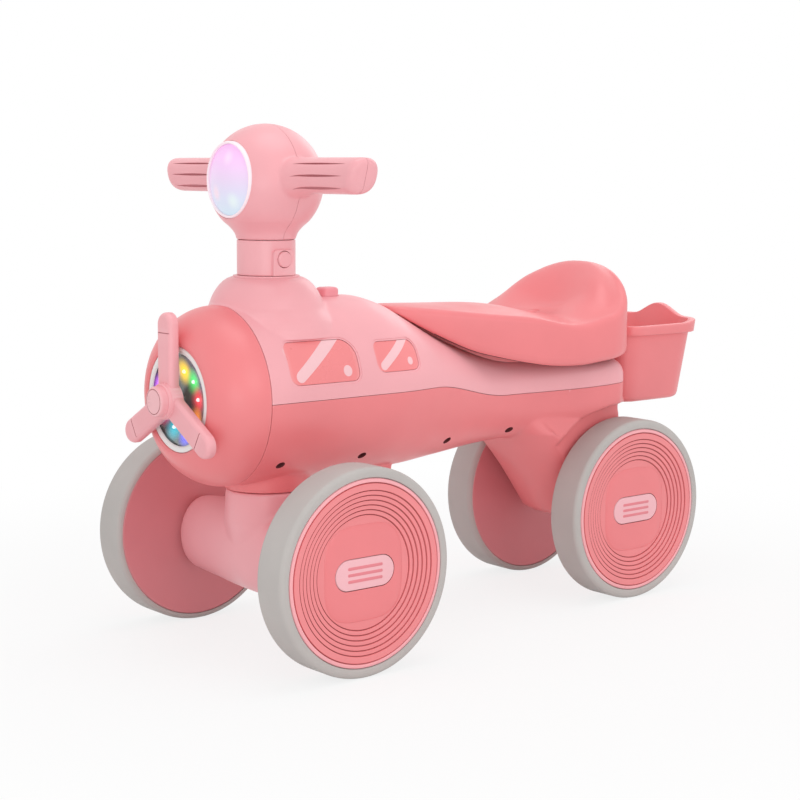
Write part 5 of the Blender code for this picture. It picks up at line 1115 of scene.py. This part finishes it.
plan = seat_plan()
rings = []
for step in range(15):
    places = [seat_point(place, step / 14, SEAT_SHOULDER) for place in plan]
    rings.append([Vector((x, y, seat_top(x, y))) for x, y in places])
for inset, drop in ((5.4, 0.25), (3.8, 0.8), (2.2, 1.8), (0.9, 3.5), (0.2, 6.0)):
    ring = []
    for place in plan:
        x, y = seat_point(place, 1.0, inset)
        top = seat_top(*seat_point(place, 1.0, SEAT_SHOULDER))
        room = max(top - seat_edge(x, y), SEAT_LEAST)
        ring.append(Vector((x, y, top - min(drop, room * 0.3 * drop / 6.0 + 0.2))))
    rings.append(ring)
for inset, lift in ((0.0, SEAT_ROLL), (0.5, SEAT_ROLL * 0.5), (SEAT_ROLL * 0.25, SEAT_ROLL * 0.22),
                    (SEAT_ROLL * 0.5, SEAT_ROLL * 0.05), (SEAT_ROLL * 0.8, 0.0)):
    ring = []
    for place in plan:
        rim = seat_point(place)
        low = seat_edge(*rim)
        scale = min(max(seat_top(*rim) - low, SEAT_LEAST) / SEAT_DEEP, 1.0)
        x, y = seat_point(place, 1.0, inset * scale)
        ring.append(Vector((x, y, over_roof(x, y, low + lift * scale))))
    rings.append(ring)
for share, inset, thick in ((0.94, 3.0, None), (0.86, SEAT_SHOULDER, SEAT_SHELL),
                            (0.58, SEAT_SHOULDER, SEAT_SHELL), (0.55, SEAT_SHOULDER, SEAT_FOOT),
                            (0.3, SEAT_SHOULDER, SEAT_FOOT), (0.0, SEAT_SHOULDER, SEAT_FOOT)):
    ring = []
    for place in plan:
        x, y = seat_point(place, share, inset)
        top = seat_top(x, y)
        below = top - thick if thick else seat_edge(x, y)
        ring.append(Vector((x, y, min(over_roof(x, y, below), top - 0.25))))
    rings.append(ring)
saddle = loft("saddle", rings, ends=False)
dimple = [(0, -3), (4.8, -3), (4.8, -0.9), (5.6, -0.2), (7.4, 1.2), (7.4, 9), (0, 9)]
cut(saddle, turned("screw_dimple", [(radius, SEAT_DISH_Z + rise) for radius, rise in dimple],
                   (0, SEAT_DISH_Y, 0), segments=48))
# Faces that look straight down get the near-black coral: painted shade in the gap under the skirt.
for face in saddle.data.polygons:
    if face.normal.z < -0.85:
        face.material_index = 1
saddle_coral = moulded("saddle_coral", CORAL, roughness=0.33)
saddle.data.materials.append(saddle_coral)
saddle.data.materials.append(painted_shade_coral)
fitted(saddle, saddle_coral, "airframe", "coral_plastic", "seat", crease=50)

# Bucket
# A small open coral bucket that hangs on two hooks in the tail. It widens upwards, has a turned
# lip all round, and a raised wave in its rear wall.

BUCKET_FRONT_Y = SEAT_REAR_Y + 3.0
BUCKET_REAR_Y = 428.0
BUCKET_HALF = 51.0
BUCKET_FLOOR_HALF = 45.0
BUCKET_FLOOR_REAR_Y = 419.0
BUCKET_FLOOR_Z = 159.0
BUCKET_RIM_Z = 224.5
BUCKET_LIP_Z = BUCKET_RIM_Z - 8.0
BUCKET_LIP_SHARE = 0.88
BUCKET_LIP_REACH = 4.5
BUCKET_WALL = 2.3
BUCKET_WAVE = 13.5
BUCKET_WAVE_FOOT = 3.0
BUCKET_WAVE_HALF = 30.0
HOOK_BACK_Y = TAIL_Y - 2.9
HOOK_FRONT_Y = HOOK_BACK_Y - 3.0
HOOK_DROP = 14.0


def bucket_plan(share, inset, outward):
    """Rounded plan at a share of the height, floor to rim."""
    half = BUCKET_FLOOR_HALF + (BUCKET_HALF - BUCKET_FLOOR_HALF) * share - inset + outward
    rear = BUCKET_FLOOR_REAR_Y + (BUCKET_REAR_Y - BUCKET_FLOOR_REAR_Y) * share - inset + outward
    radii = [16.0 - inset] * 2 + [25.0 - inset + outward] * 2
    points = rounded_box((-half, BUCKET_FRONT_Y + inset), (half, rear), radii, 8)
    left, right = points[26], points[27]
    wall = [left.lerp(right, step / 24) for step in range(1, 24)]
    return points[:27] + wall + points[27:]


def rim_height(x, y):
    """Level at the sides, with a raised wave in the rear wall."""
    behind = eased((y - BUCKET_REAR_Y + 30) / 26)
    wave = cos(pi / 2 * min(abs(x) / BUCKET_WAVE_HALF, 1.0)) ** 2
    return BUCKET_RIM_Z + behind * (BUCKET_WAVE_FOOT + (BUCKET_WAVE - BUCKET_WAVE_FOOT) * wave)


# share of the height, inset, distance outward, and height, from the floor up the outside
outside = [(0.0, 7.0, 0.0, BUCKET_FLOOR_Z), (0.0, 3.0, 0.0, BUCKET_FLOOR_Z + 0.3),
           (0.01, 1.2, 0.0, BUCKET_FLOOR_Z + 1.2), (0.03, 0.3, 0.0, BUCKET_FLOOR_Z + 2.6),
           (0.06, 0.0, 0.0, BUCKET_FLOOR_Z + 4.4)]
outside += [(share, 0.0, 0.0, BUCKET_FLOOR_Z
             + (BUCKET_LIP_Z - BUCKET_FLOOR_Z) * share / BUCKET_LIP_SHARE)
            for share in (0.3, 0.6, BUCKET_LIP_SHARE)]
outside += [(0.9, 0.0, BUCKET_LIP_REACH - 0.6, BUCKET_LIP_Z + 0.1),
            (0.9, 0.0, BUCKET_LIP_REACH - 0.1, BUCKET_LIP_Z + 0.5),
            (0.9, 0.0, BUCKET_LIP_REACH, BUCKET_LIP_Z + 1.2)]
# inset, distance outward, and depth under the wavy edge
over_edge = [(0.0, BUCKET_LIP_REACH, 1.6), (0.0, BUCKET_LIP_REACH - 0.4, 0.6),
             (0.0, BUCKET_LIP_REACH - 1.4, 0.0), (0.6, 0.0, 0.0), (BUCKET_WALL - 0.4, 0.0, 0.4),
             (BUCKET_WALL, 0.0, 1.4)]
inside = [(0.06, BUCKET_WALL, 0.0, BUCKET_FLOOR_Z + 5.0),
          (0.03, BUCKET_WALL + 1.0, 0.0, BUCKET_FLOOR_Z + 3.2),
          (0.0, BUCKET_WALL + 3.0, 0.0, BUCKET_FLOOR_Z + 2.5)]
rings = [level(bucket_plan(share, inset, outward), z) for share, inset, outward, z in outside]
for inset, outward, drop in over_edge:
    rings.append([Vector((x, y, rim_height(x, y) - drop))
                  for x, y in bucket_plan(1.0, inset, outward)])
rings += [level(bucket_plan(share, inset, outward), z) for share, inset, outward, z in inside]
bucket = loft("bucket_moulding", rings)
for side in (-1, 1):
    near, far = sorted((side * HOOK_NEAR, side * HOOK_FAR))
    arm = block("arm", (near, HOOK_FRONT_Y, HOOK_TOP_Z - HOOK_ARM),
                (far, BUCKET_FRONT_Y + 1.2, HOOK_TOP_Z))
    tongue = block("tongue", (near, HOOK_FRONT_Y, HOOK_TOP_Z - HOOK_DROP),
                   (far, HOOK_BACK_Y, HOOK_TOP_Z - 1))
    combined(bucket, combined(arm, tongue, "UNION"), "UNION")
fitted(bucket, coral, "bucket", "coral_plastic", "bucket", crease=40)

# Front axle housing
# A pink moulding that turns with the handlebar: a round post under the body's collar runs down
# into a broad, waisted beam, which holds the front axle.

BEAM_Z = 71.0
BEAM_END = (21.0, 28.0)
BEAM_MIDDLE = (30.0, 35.0)
BEAM_SWELL = ((0, 1.0), (0.28, 0.85), (0.55, 0.55), (0.8, 0.3), (1.0, 0.10))
BEAM_EDGE = 1.5
BEAM_HALF = 88.5
POST_RADIUS = 31.0
POST_TOP_Z = COLLAR_Z - SEATED

rings = []
for step in range(-24, 25):
    share = through(BEAM_SWELL, abs(step) / 24)
    edge = BEAM_EDGE if abs(step) == 24 else 0.0
    depth = BEAM_END[0] + (BEAM_MIDDLE[0] - BEAM_END[0]) * share - edge
    height = BEAM_END[1] + (BEAM_MIDDLE[1] - BEAM_END[1]) * share - edge
    rings.append([Vector((BEAM_HALF * step / 24, depth * cos(turn),
                          BEAM_Z + 2 * share + height * sin(turn))) for turn in round_angles(72)])
post = turned("post", [
    (0, BEAM_Z), (POST_RADIUS - 3, BEAM_Z), (POST_RADIUS + 1.2, BEAM_Z + 24),
    (POST_RADIUS, POST_TOP_Z), (0, POST_TOP_Z)], segments=96)
housing = gathered("steering_beam", [loft("beam", rings), post])
run_together(housing, SKIN_VOXEL, 10)
cut(housing, block("above_post", (-60, -60, POST_TOP_Z), (60, 60, COLLAR_Z + 20)))
fitted(housing, pink, "steering", "pink_plastic", "front_axle_housing")

# Neck and snap button
# A pink sleeve round the steering column, with a flat plate on its left. A round button in the
# plate snaps through the column and locks the handlebar on.

NECK_RADIUS = 21.5
NECK_BORE = 15.3
NECK_FOOT_Z = COWL_TOP_Z + SEATED
NECK_TOP_Z = 303.4
SNAP_Z = 289.5
SNAP_RADIUS = 5.8
SNAP_ROOT_X = 12.0
PLATE_HALF = 9.0
PLATE_TOP_Z = 296.5
PLATE_X = NECK_RADIUS + 1.4
SNAP_TIP_X = PLATE_X + 1.6

neck = turned("neck_sleeve", [
    (NECK_RADIUS - 0.4, NECK_FOOT_Z), (NECK_RADIUS, COWL_TOP_Z + 0.7),
    (NECK_RADIUS, NECK_TOP_Z - 0.8), (NECK_RADIUS - 0.5, NECK_TOP_Z - SEATED),
    (NECK_BORE, NECK_TOP_Z - SEATED), (NECK_BORE, NECK_FOOT_Z)])
outline = rounded_box((-PLATE_HALF, NECK_FOOT_Z), (PLATE_HALF, PLATE_TOP_Z), [0, 0, 3.0, 3.0])
plate = crosswise("plate", outline, PLATE_X - 6, PLATE_X)
rounding = plate.modifiers.new("rounding", "BEVEL")
rounding.width = 0.0005
rounding.segments = 3
rounding.limit_method = "ANGLE"
combined(neck, settled(plate), "UNION")
cut(neck, rod("snap_hole", SNAP_RADIUS + 0.5, (14, 0, SNAP_Z), (PLATE_X + 4, 0, SNAP_Z)))
fitted(neck, pink, "steering", "pink_plastic", "steering_neck")

button = turned("snap_cap", [
    (0, SNAP_ROOT_X), (SNAP_RADIUS, SNAP_ROOT_X), (SNAP_RADIUS, SNAP_TIP_X - 1.2),
    (SNAP_RADIUS - 0.3, SNAP_TIP_X - 0.5), (SNAP_RADIUS - 1.1, SNAP_TIP_X - 0.1),
    (SNAP_RADIUS - 2.2, SNAP_TIP_X), (0, SNAP_TIP_X)], (0, 0, SNAP_Z), (1, 0, 0), 64)
fitted(button, pink, "snap_button", "pink_plastic", "snap_button")

# Handlebar
# A round head with two grips, moulded in a front and a rear half that meet on an upright seam.
# Leaf-shaped grooves in the front of each grip give hold.

HEAD_RADIUS = 42.3
HEAD_Z = 344.8
# radius and rise of the head's foot, above the neck
HEAD_FOOT = ((27.6, 9.9), (25.2, 7.4), (23.4, 5.2), (22.3, 3.0), (21.9, 1.0), (21.9, 0), (0, 0))
LAMP_Y = -32.0
LAMP_Z = 346.5
LAMP_RADIUS = 27.6
LAMP_RING_DEPTH = 15.0
GRIP_ROOT_X = 26.0
GRIP_FOOT_X = 113.0
GRIP_LEAN = 8.0
GRIP_ROUND = 6.0
GRIP_DEPTH = 13.0
GRIP_FLARE_DEPTH = 4.0
GRIP_FLARE_DROP = 5.6
GRIP_POWER = 2.5
GRIP_TOP_Z = 362.6
GRIP_BOTTOM_Z = 337.2
GRIP_VOXEL = 0.0011
# angle round the grip of each groove, and its half width
GRIP_GROOVES = ((-38, 1.1), (0, 0.85), (36, 0.65))
GROOVE_X = 47.0
GROOVE_LENGTH = 57.0
GROOVE_DEPTH = 1.7

profile = [(0, HEAD_Z + HEAD_RADIUS)]
for angle in range(86, -45, -4):
    profile.append((HEAD_RADIUS * cos(radians(angle)), HEAD_Z + HEAD_RADIUS * sin(radians(angle))))
profile += [(radius, NECK_TOP_Z + rise) for radius, rise in HEAD_FOOT]
head = turned("head", profile)


def grip_surface(x, side, angle, inset=0.0):
    """A point of a grip's skin; the angle runs round it from the middle of its front."""
    flare = 1 - eased((x - GRIP_ROOT_X) / 34.0)
    top = GRIP_TOP_Z - inset
    bottom = GRIP_BOTTOM_Z - GRIP_FLARE_DROP * flare + inset
    depth = GRIP_DEPTH + GRIP_FLARE_DEPTH * flare - inset
    turn = radians(angle)
    z = (top + bottom) / 2 + (top - bottom) / 2 * powered(sin(turn), GRIP_POWER)
    leaning = eased((x - 80.0) / 25.0) * GRIP_LEAN
    out = x + leaning * (z - GRIP_BOTTOM_Z) / (GRIP_TOP_Z - GRIP_BOTTOM_Z)
    return Vector((side * out, -depth * powered(cos(turn), GRIP_POWER), z))


stop_x = GRIP_FOOT_X - GRIP_ROUND
stations = [(GRIP_ROOT_X + (stop_x - GRIP_ROOT_X) * step / 28, 0.0) for step in range(29)]
for step in range(1, 7):
    turn = radians(15 * step)
    stations.append((stop_x + GRIP_ROUND * sin(turn), GRIP_ROUND * (1 - cos(turn))))
grips = []
leaves = []
for side in (-1, 1):
    grips.append(loft("grip", [[grip_surface(x, side, 5 * step, inset) for step in range(72)]
                               for x, inset in stations]))
    for angle, wide in GRIP_GROOVES:
        rings = []
        for step in range(25):
            share = step / 24
            middle = grip_surface(GROOVE_X + GROOVE_LENGTH * share, side, angle)
            plump = max(sin(pi * share) ** 0.8, 0.04)
            rings.append([middle + Vector((0, -0.2 + GROOVE_DEPTH * plump * sin(swing),
                                           wide * plump * cos(swing)))
                          for swing in round_angles(16)])
        leaves.append(loft("leaf", rings))
front_half = gathered("handlebar_front_half", [head] + grips)
run_together(front_half, GRIP_VOXEL, 8)
# The leaf grooves are lined with the darker pink: painted shade in them.
cut(front_half, gathered("leaves", leaves), pink, painted_shade_pink)
cut(front_half, rod("lamp_room", LAMP_RADIUS + SEATED, (0, LAMP_Y + LAMP_RING_DEPTH, LAMP_Z),
                    (0, -HEAD_RADIUS - 5, LAMP_Z), 128))
cut(front_half, block("under_neck", (-60, -60, NECK_TOP_Z - 20), (60, 60, NECK_TOP_Z)))
rear_half = placed("handlebar_rear_half", front_half.data.copy())
cut(front_half, block("rear_side", (-150, -SEATED / 2, 280), (150, 90, 420)))
cut(rear_half, block("front_side", (-150, -90, 280), (150, SEATED / 2, 420)))
fitted(front_half, pink, "steering", "pink_plastic", "handlebar_front_shell")
fitted(rear_half, pink, "steering", "pink_plastic", "handlebar_rear_shell")

# Headlight
# A white light ring round a frosted, domed lens, lit softly from behind in pink, violet and blue.
# Both sit in the round opening in front of the head.

RING_INNER = LAMP_RADIUS - 2.0
RING_BACK_Y = LAMP_Y + LAMP_RING_DEPTH - 1
LENS_EDGE = RING_INNER - SEATED
LENS_EDGE_Y = LAMP_Y + 1.8
# share of the lens's height, and colour there
LENS_SHADES = ((0.0, (0.56, 0.72, 0.80)), (0.25, (0.64, 0.68, 0.83)), (0.5, (0.74, 0.60, 0.80)),
               (0.8, (0.86, 0.52, 0.84)), (1.0, (0.84, 0.50, 0.82)))
# middle, reach and colour of each brighter place
LENS_GLOWS = (((4.0, -38.0, 363.0), 8.0, (0.92, 0.72, 0.86)),
              ((-11.0, -36.0, 337.0), 8.0, (0.90, 0.66, 0.74)),
              ((9.0, -36.0, 331.0), 9.0, (0.72, 0.83, 0.82)))


def lamp_turned(name, profile):
    return turned(name, profile, (0, 0, LAMP_Z), (0, 1, 0))


light_ring = lamp_turned("light_ring", [
    (LAMP_RADIUS, LAMP_Y - 0.6), (LAMP_RADIUS, RING_BACK_Y), (RING_INNER, RING_BACK_Y),
    (RING_INNER, LAMP_Y - 1.2), (RING_INNER + 0.4, LAMP_Y - 1.7), (LAMP_RADIUS - 1.0, LAMP_Y - 1.9),
    (LAMP_RADIUS - 0.3, LAMP_Y - 1.3)])
ring_white = moulded("light_ring_white", (0.90, 0.74, 0.79), roughness=0.35, highlight_tint=WHITE,
                     more={"Emission Color": (1.0, 0.90, 0.95), "Emission Strength": 0.14})
fitted(light_ring, ring_white, "steering", "white_plastic", "headlight_ring")

profile = [(LENS_EDGE * step / 14, LAMP_Y - 6.0 * (1 - (step / 14) ** 2)) for step in range(15)]
profile += [(LENS_EDGE * share, LENS_EDGE_Y - 5.4 * (1 - share ** 2))
            for share in (1.0, 0.9, 0.6, 0.3, 0.0)]
head_lens = lamp_turned("frosted_lens", profile)
frosted = moulded("frosted_lens", (0.83, 0.66, 0.86), roughness=0.32, highlight_share=0.0)
tree = frosted.node_tree
parts = wired(tree, "SeparateXYZ", {0: wired(tree, "TexCoord", {})["Object"]})
height = ranged(tree, parts["Z"], (LAMP_Z - LAMP_RADIUS) * MM, (LAMP_Z + LAMP_RADIUS) * MM,
                0.0, 1.0)
shades = tree.nodes.new("ShaderNodeValToRGB")
filled(shades, {0: height})
ramp = shades.color_ramp.elements
ramp[0].color = (*LENS_SHADES[0][1], 1.0)
ramp[1].color = (*LENS_SHADES[-1][1], 1.0)
for place, colour in LENS_SHADES[1:-1]:
    ramp.new(place).color = (*colour, 1.0)
lights = shades.outputs[0]
for place, size, colour in LENS_GLOWS:
    lights = mixed(tree, glow_round(tree, place, 0.0, size * MM, 0.8), lights, colour)
filled(tree.nodes["Principled BSDF"], {
    "Base Color": lights, "Emission Color": lights, "Emission Strength": 0.24})
fitted(head_lens, frosted, "steering", "frosted_plastic", "headlight_lens")

# Wheels
# Each wheel is a grey foam tyre on two coral discs. The outer disc is dished in six fine steps,
# with a pale rim and a soft square boss, and carries a pink badge with three plain stripes.

TYRE_WIDTH = 29.4
TYRE_SHOULDER = 3.7
TYRE_SEAT = 26.3
DISC_RADIUS = 67.4
DISC_DISH = 5.0
DISC_BACK = 7.6
DISC_FLANGE = 14.7
DISC_WALL = 2.6
DISC_STEPS = (41.4, 44.9, 48.4, 51.9, 55.4, 58.9)
GROOVE_WIDTH = 0.7
RIM_LINE = 64.4
BACK_DISC_RADIUS = 70.35
HUB = 12.5
HUB_DEPTH = 22.0
HUB_REACH = 2.4                  # past the tyre's inner face
AXLE_BORE = 4.4
# half width of the square boss, and how far it stands out of the dish
BOSS_LEVELS = ((34.8, -0.6), (34.6, 0.1), (34.0, 0.5), (32.4, 1.0), (29.6, 1.45), (26.0, 1.65),
               (22.0, 1.7))
BOSS_POWER = 3.3
BADGE_LENGTH = 52.0
BADGE_HEIGHT = 22.0
BADGE_THICK = 1.8
# inset and thickness short of the full one, from the badge's back to its face
BADGE_EDGE = ((0.0, BADGE_THICK), (0.0, 0.7), (0.15, 0.35), (0.45, 0.1), (0.9, 0.0))
STRIPE_LENGTH = 31.0
STRIPE_HEIGHT = 2.2
STRIPE_EDGE = ((0.0, 0.4), (0.0, -0.05), (0.2, -0.2))
STRIPES_APART = 4.6
FRONT_FACE = 91.3                # inner face of the tyres, from the scooter's middle
REAR_FACE = 49.3
WHEELS = (("front_left", 1, FRONT_FACE, 0.0), ("front_right", -1, FRONT_FACE, 0.0),
          ("rear_left", 1, REAR_FACE, REAR_AXLE_Y), ("rear_right", -1, REAR_FACE, REAR_AXLE_Y))
foam = moulded("tyre_foam", (0.50, 0.47, 0.45), roughness=0.62, mottle=0.05, grain=0.20,
               grain_scale=2600.0, highlight_tint=(0.85, 0.83, 0.80), highlight_share=0.2)
disc_coral = moulded("disc_coral", CORAL, roughness=0.36)
# Dark coral: painted shade in the disc's fine grooves and in the gap round the badge.
groove_shade_coral = moulded("disc_groove_shade", (0.46, 0.09, 0.10), roughness=0.5)
# The inner discs are coral made darker and duller: painted shade, as they face in towards the
# scooter.
shaded_inner_coral = moulded("inner_disc_painted_shade", (0.70, 0.245, 0.27), roughness=0.42)
pale_coral = moulded("pale_rim", (0.945, 0.42, 0.45), roughness=0.30, highlight_tint=(1.0, 0.93, 0.93))
stripe_coral = moulded("badge_stripe", (0.80, 0.20, 0.24), roughness=0.36)
badge_pink = moulded("badge_pink", (0.92, 0.50, 0.54), roughness=0.34, highlight_tint=(1.0, 0.95, 0.95))


def capsule(length, height, rise=0.0, steps=16):
    half = height / 2
    points = []
    for side, start in ((1, -pi / 2), (-1, pi / 2)):
        for step in range(steps + 1):
            angle = start + pi * step / steps
            points.append((side * (length / 2 - half) + half * cos(angle),
                           rise + half * sin(angle)))
    return points


def wheel(name, side, inner_face, axle_y):
    outer = inner_face + TYRE_WIDTH
    centre = (side * outer, axle_y, AXLE_Z)
    body = name + "_wheel"

    def about_axle(part, profile, segments):
        """Turned about the axle; distances run inward from the wheel's outer face."""
        return turned(name + part, profile, centre, (-side, 0, 0), segments)

    def upright(x, outline):
        return [Vector((side * x, axle_y + along, AXLE_Z + up)) for along, up in outline]

    bore = DISC_RADIUS + SEATED
    crown = WHEEL_RADIUS - TYRE_SHOULDER
    turns = [radians(11.25 * step) for step in range(9)]
    profile = [(bore, 0.9), (bore + 0.5, 0.25), (bore + 1.2, 0.0)]
    profile += [(crown + TYRE_SHOULDER * sin(t), TYRE_SHOULDER * (1 - cos(t))) for t in turns]
    profile += [(crown + TYRE_SHOULDER * cos(t), TYRE_WIDTH - TYRE_SHOULDER * (1 - sin(t)))
                for t in turns]
    profile += [(BACK_DISC_RADIUS + SEATED, TYRE_WIDTH), (BACK_DISC_RADIUS + SEATED, TYRE_SEAT),
                (bore, TYRE_SEAT)]
    fitted(about_axle("_foam_tyre", profile, 160), foam, body, "tyre_rubber", name + "_tyre")

    depth = DISC_DISH
    drop = (DISC_DISH - 0.3) / len(DISC_STEPS)
    profile = [(0, depth)]
    for radius in DISC_STEPS:
        profile += [(radius - GROOVE_WIDTH, depth), (radius - 0.6, depth + 0.8),
                    (radius, depth + 0.8), (radius + 0.1, depth - drop * 0.7),
                    (radius + 0.5, depth - drop)]
        depth -= drop
    profile += [(RIM_LINE - 0.8, 0.3), (RIM_LINE - GROOVE_WIDTH, 1.5), (RIM_LINE, 1.5),
                (RIM_LINE + 0.15, 0.35), (RIM_LINE + 0.8, 0.0), (DISC_RADIUS - 1.3, 0.1),
                (DISC_RADIUS - 0.4, 0.6), (DISC_RADIUS, 1.4), (DISC_RADIUS, DISC_FLANGE),
                (DISC_RADIUS - DISC_WALL, DISC_FLANGE), (DISC_RADIUS - DISC_WALL, DISC_BACK),
                (0, DISC_BACK)]
    disc = about_axle("_dished_disc", profile, 144)
    for finish in (disc_coral, pale_coral, groove_shade_coral):
        disc.data.materials.append(finish)
    # Faces past the rim line get the pale rim colour, and faces in the fine grooves the dark coral,
    # as painted shade.
    middle = in_frame(centre)
    for face in disc.data.polygons:
        radius = hypot(face.center.y - middle.y, face.center.z - middle.z) / MM
        if radius > RIM_LINE + 0.05:
            face.material_index = 1
        elif any(edge - GROOVE_WIDTH < radius < edge for edge in DISC_STEPS + (RIM_LINE,)):
            face.material_index = 2
    fitted(disc, disc_coral, body, "coral_plastic", name + "_outer_disc", crease=30)

    rings = []
    for half, proud in BOSS_LEVELS:
        square = [(half * powered(cos(turn), BOSS_POWER), half * powered(sin(turn), BOSS_POWER))
                  for turn in round_angles(96)]
        rings.append(upright(outer - (DISC_DISH - proud), square))
    boss = loft(name + "_square_boss", rings)
    # The gap round the badge is lined with the dark coral: painted shade.
    around = capsule(BADGE_LENGTH + 0.9, BADGE_HEIGHT + 0.9)
    badge_seat = loft("badge_seat", [upright(outer - DISC_DISH, around), upright(outer, around)])
    cut(boss, badge_seat, disc_coral, groove_shade_coral)
    fitted(boss, disc_coral, body, "coral_plastic", crease=50)

    back_disc = about_axle("_back_disc", [
        (HUB, TYRE_WIDTH + HUB_REACH), (HUB + 1.2, TYRE_WIDTH + 2.2),
        (HUB + 3.0, TYRE_WIDTH - 0.6), (HUB + 6, TYRE_WIDTH - 1.8),
        (BACK_DISC_RADIUS - 5, TYRE_WIDTH - 0.5),
        (BACK_DISC_RADIUS - 1.0, TYRE_WIDTH - 0.2), (BACK_DISC_RADIUS, TYRE_WIDTH - 0.8),
        (BACK_DISC_RADIUS, TYRE_WIDTH - 2.7), (HUB, HUB_DEPTH), (AXLE_BORE, HUB_DEPTH),
        (AXLE_BORE, TYRE_WIDTH + HUB_REACH)], 144)
    fitted(back_disc, shaded_inner_coral, body, "coral_plastic", name + "_inner_disc")

    face_x = outer - DISC_DISH + SEATED + BADGE_THICK
    badge = loft(name + "_badge_plate", [
        upright(face_x - short, capsule(BADGE_LENGTH - 2 * inset, BADGE_HEIGHT - 2 * inset))
        for inset, short in BADGE_EDGE])
    fitted(badge, badge_pink, body, "pink_plastic", name + "_badge")
    stripes = [loft("stripe", [
        upright(face_x - short, capsule(STRIPE_LENGTH - 2 * inset, STRIPE_HEIGHT - 2 * inset,
                                        row * STRIPES_APART, 8))
        for inset, short in STRIPE_EDGE]) for row in (-1, 0, 1)]
    fitted(gathered(name + "_badge_stripes", stripes), stripe_coral, body, "coral_plastic",
           crease=40)


for name, side, inner_face, axle_y in WHEELS:
    wheel(name, side, inner_face, axle_y)

# Music button
# A pink push button with rounded edges that stands up out of the roof, behind the cowl.

BUTTON_TOP_Z = ROOF_Z + 9.3
music_cap = loft("music_cap", [level(button_plan(-inset), z) for inset, z in (
    (0.0, ROOF_Z - 3.2), (0.0, BUTTON_TOP_Z - 2.4), (0.3, BUTTON_TOP_Z - 1.3),
    (1.0, BUTTON_TOP_Z - 0.5), (2.2, BUTTON_TOP_Z - 0.1), (3.6, BUTTON_TOP_Z))])
button_pink = moulded("button_pink", (0.86, 0.30, 0.345), highlight_tint=(1.0, 0.9, 0.9))
fitted(music_cap, button_pink, "music_button", "pink_plastic", "music_button")

# Works inside
# The steel axles, column, bar, pin and screw, the bushes, the batteries with their box and cover,
# the speaker and the circuit boards keep their shapes, each with its own finish.

steel = moulded("bright_steel", (0.60, 0.60, 0.61), roughness=0.28, highlight_tint=(0.9, 0.9, 0.9),
                more={"Metallic": 1.0})
bearing = moulded("bearing_plastic", (0.80, 0.79, 0.75), roughness=0.42, highlight_tint=WHITE)
board_green = moulded("circuit_board", (0.05, 0.22, 0.10), roughness=0.45, highlight_tint=(0.2, 0.4, 0.25))
black = moulded("black_plastic", (0.03, 0.03, 0.03), roughness=0.42, highlight_tint=(0.2, 0.2, 0.2))
sleeve = moulded("battery_sleeve", (0.12, 0.13, 0.15), roughness=0.33, highlight_tint=(0.3, 0.3, 0.32))
INSIDE = (
    (steel, ("front_axle", "rear_axle", "steering_stem", "handlebar_tube", "propeller_pin",
             "seat_screw")),
    (bearing, ("upper_steering_bush", "lower_steering_bush")),
    (board_green, ("nose_light_board", "headlight_board", "sound_board")),
    (black, ("battery_box", "speaker")),
    (sleeve, ("battery_cell_left", "battery_cell_right")),
    (coral, ("battery_cover",)))
for finish, names in INSIDE:
    for name in names:
        node = frame["nodes"][name]
        node.data.materials.clear()
        node.data.materials.append(finish)

# Size
# The box round everything shown, the floor left out.

low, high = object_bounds()
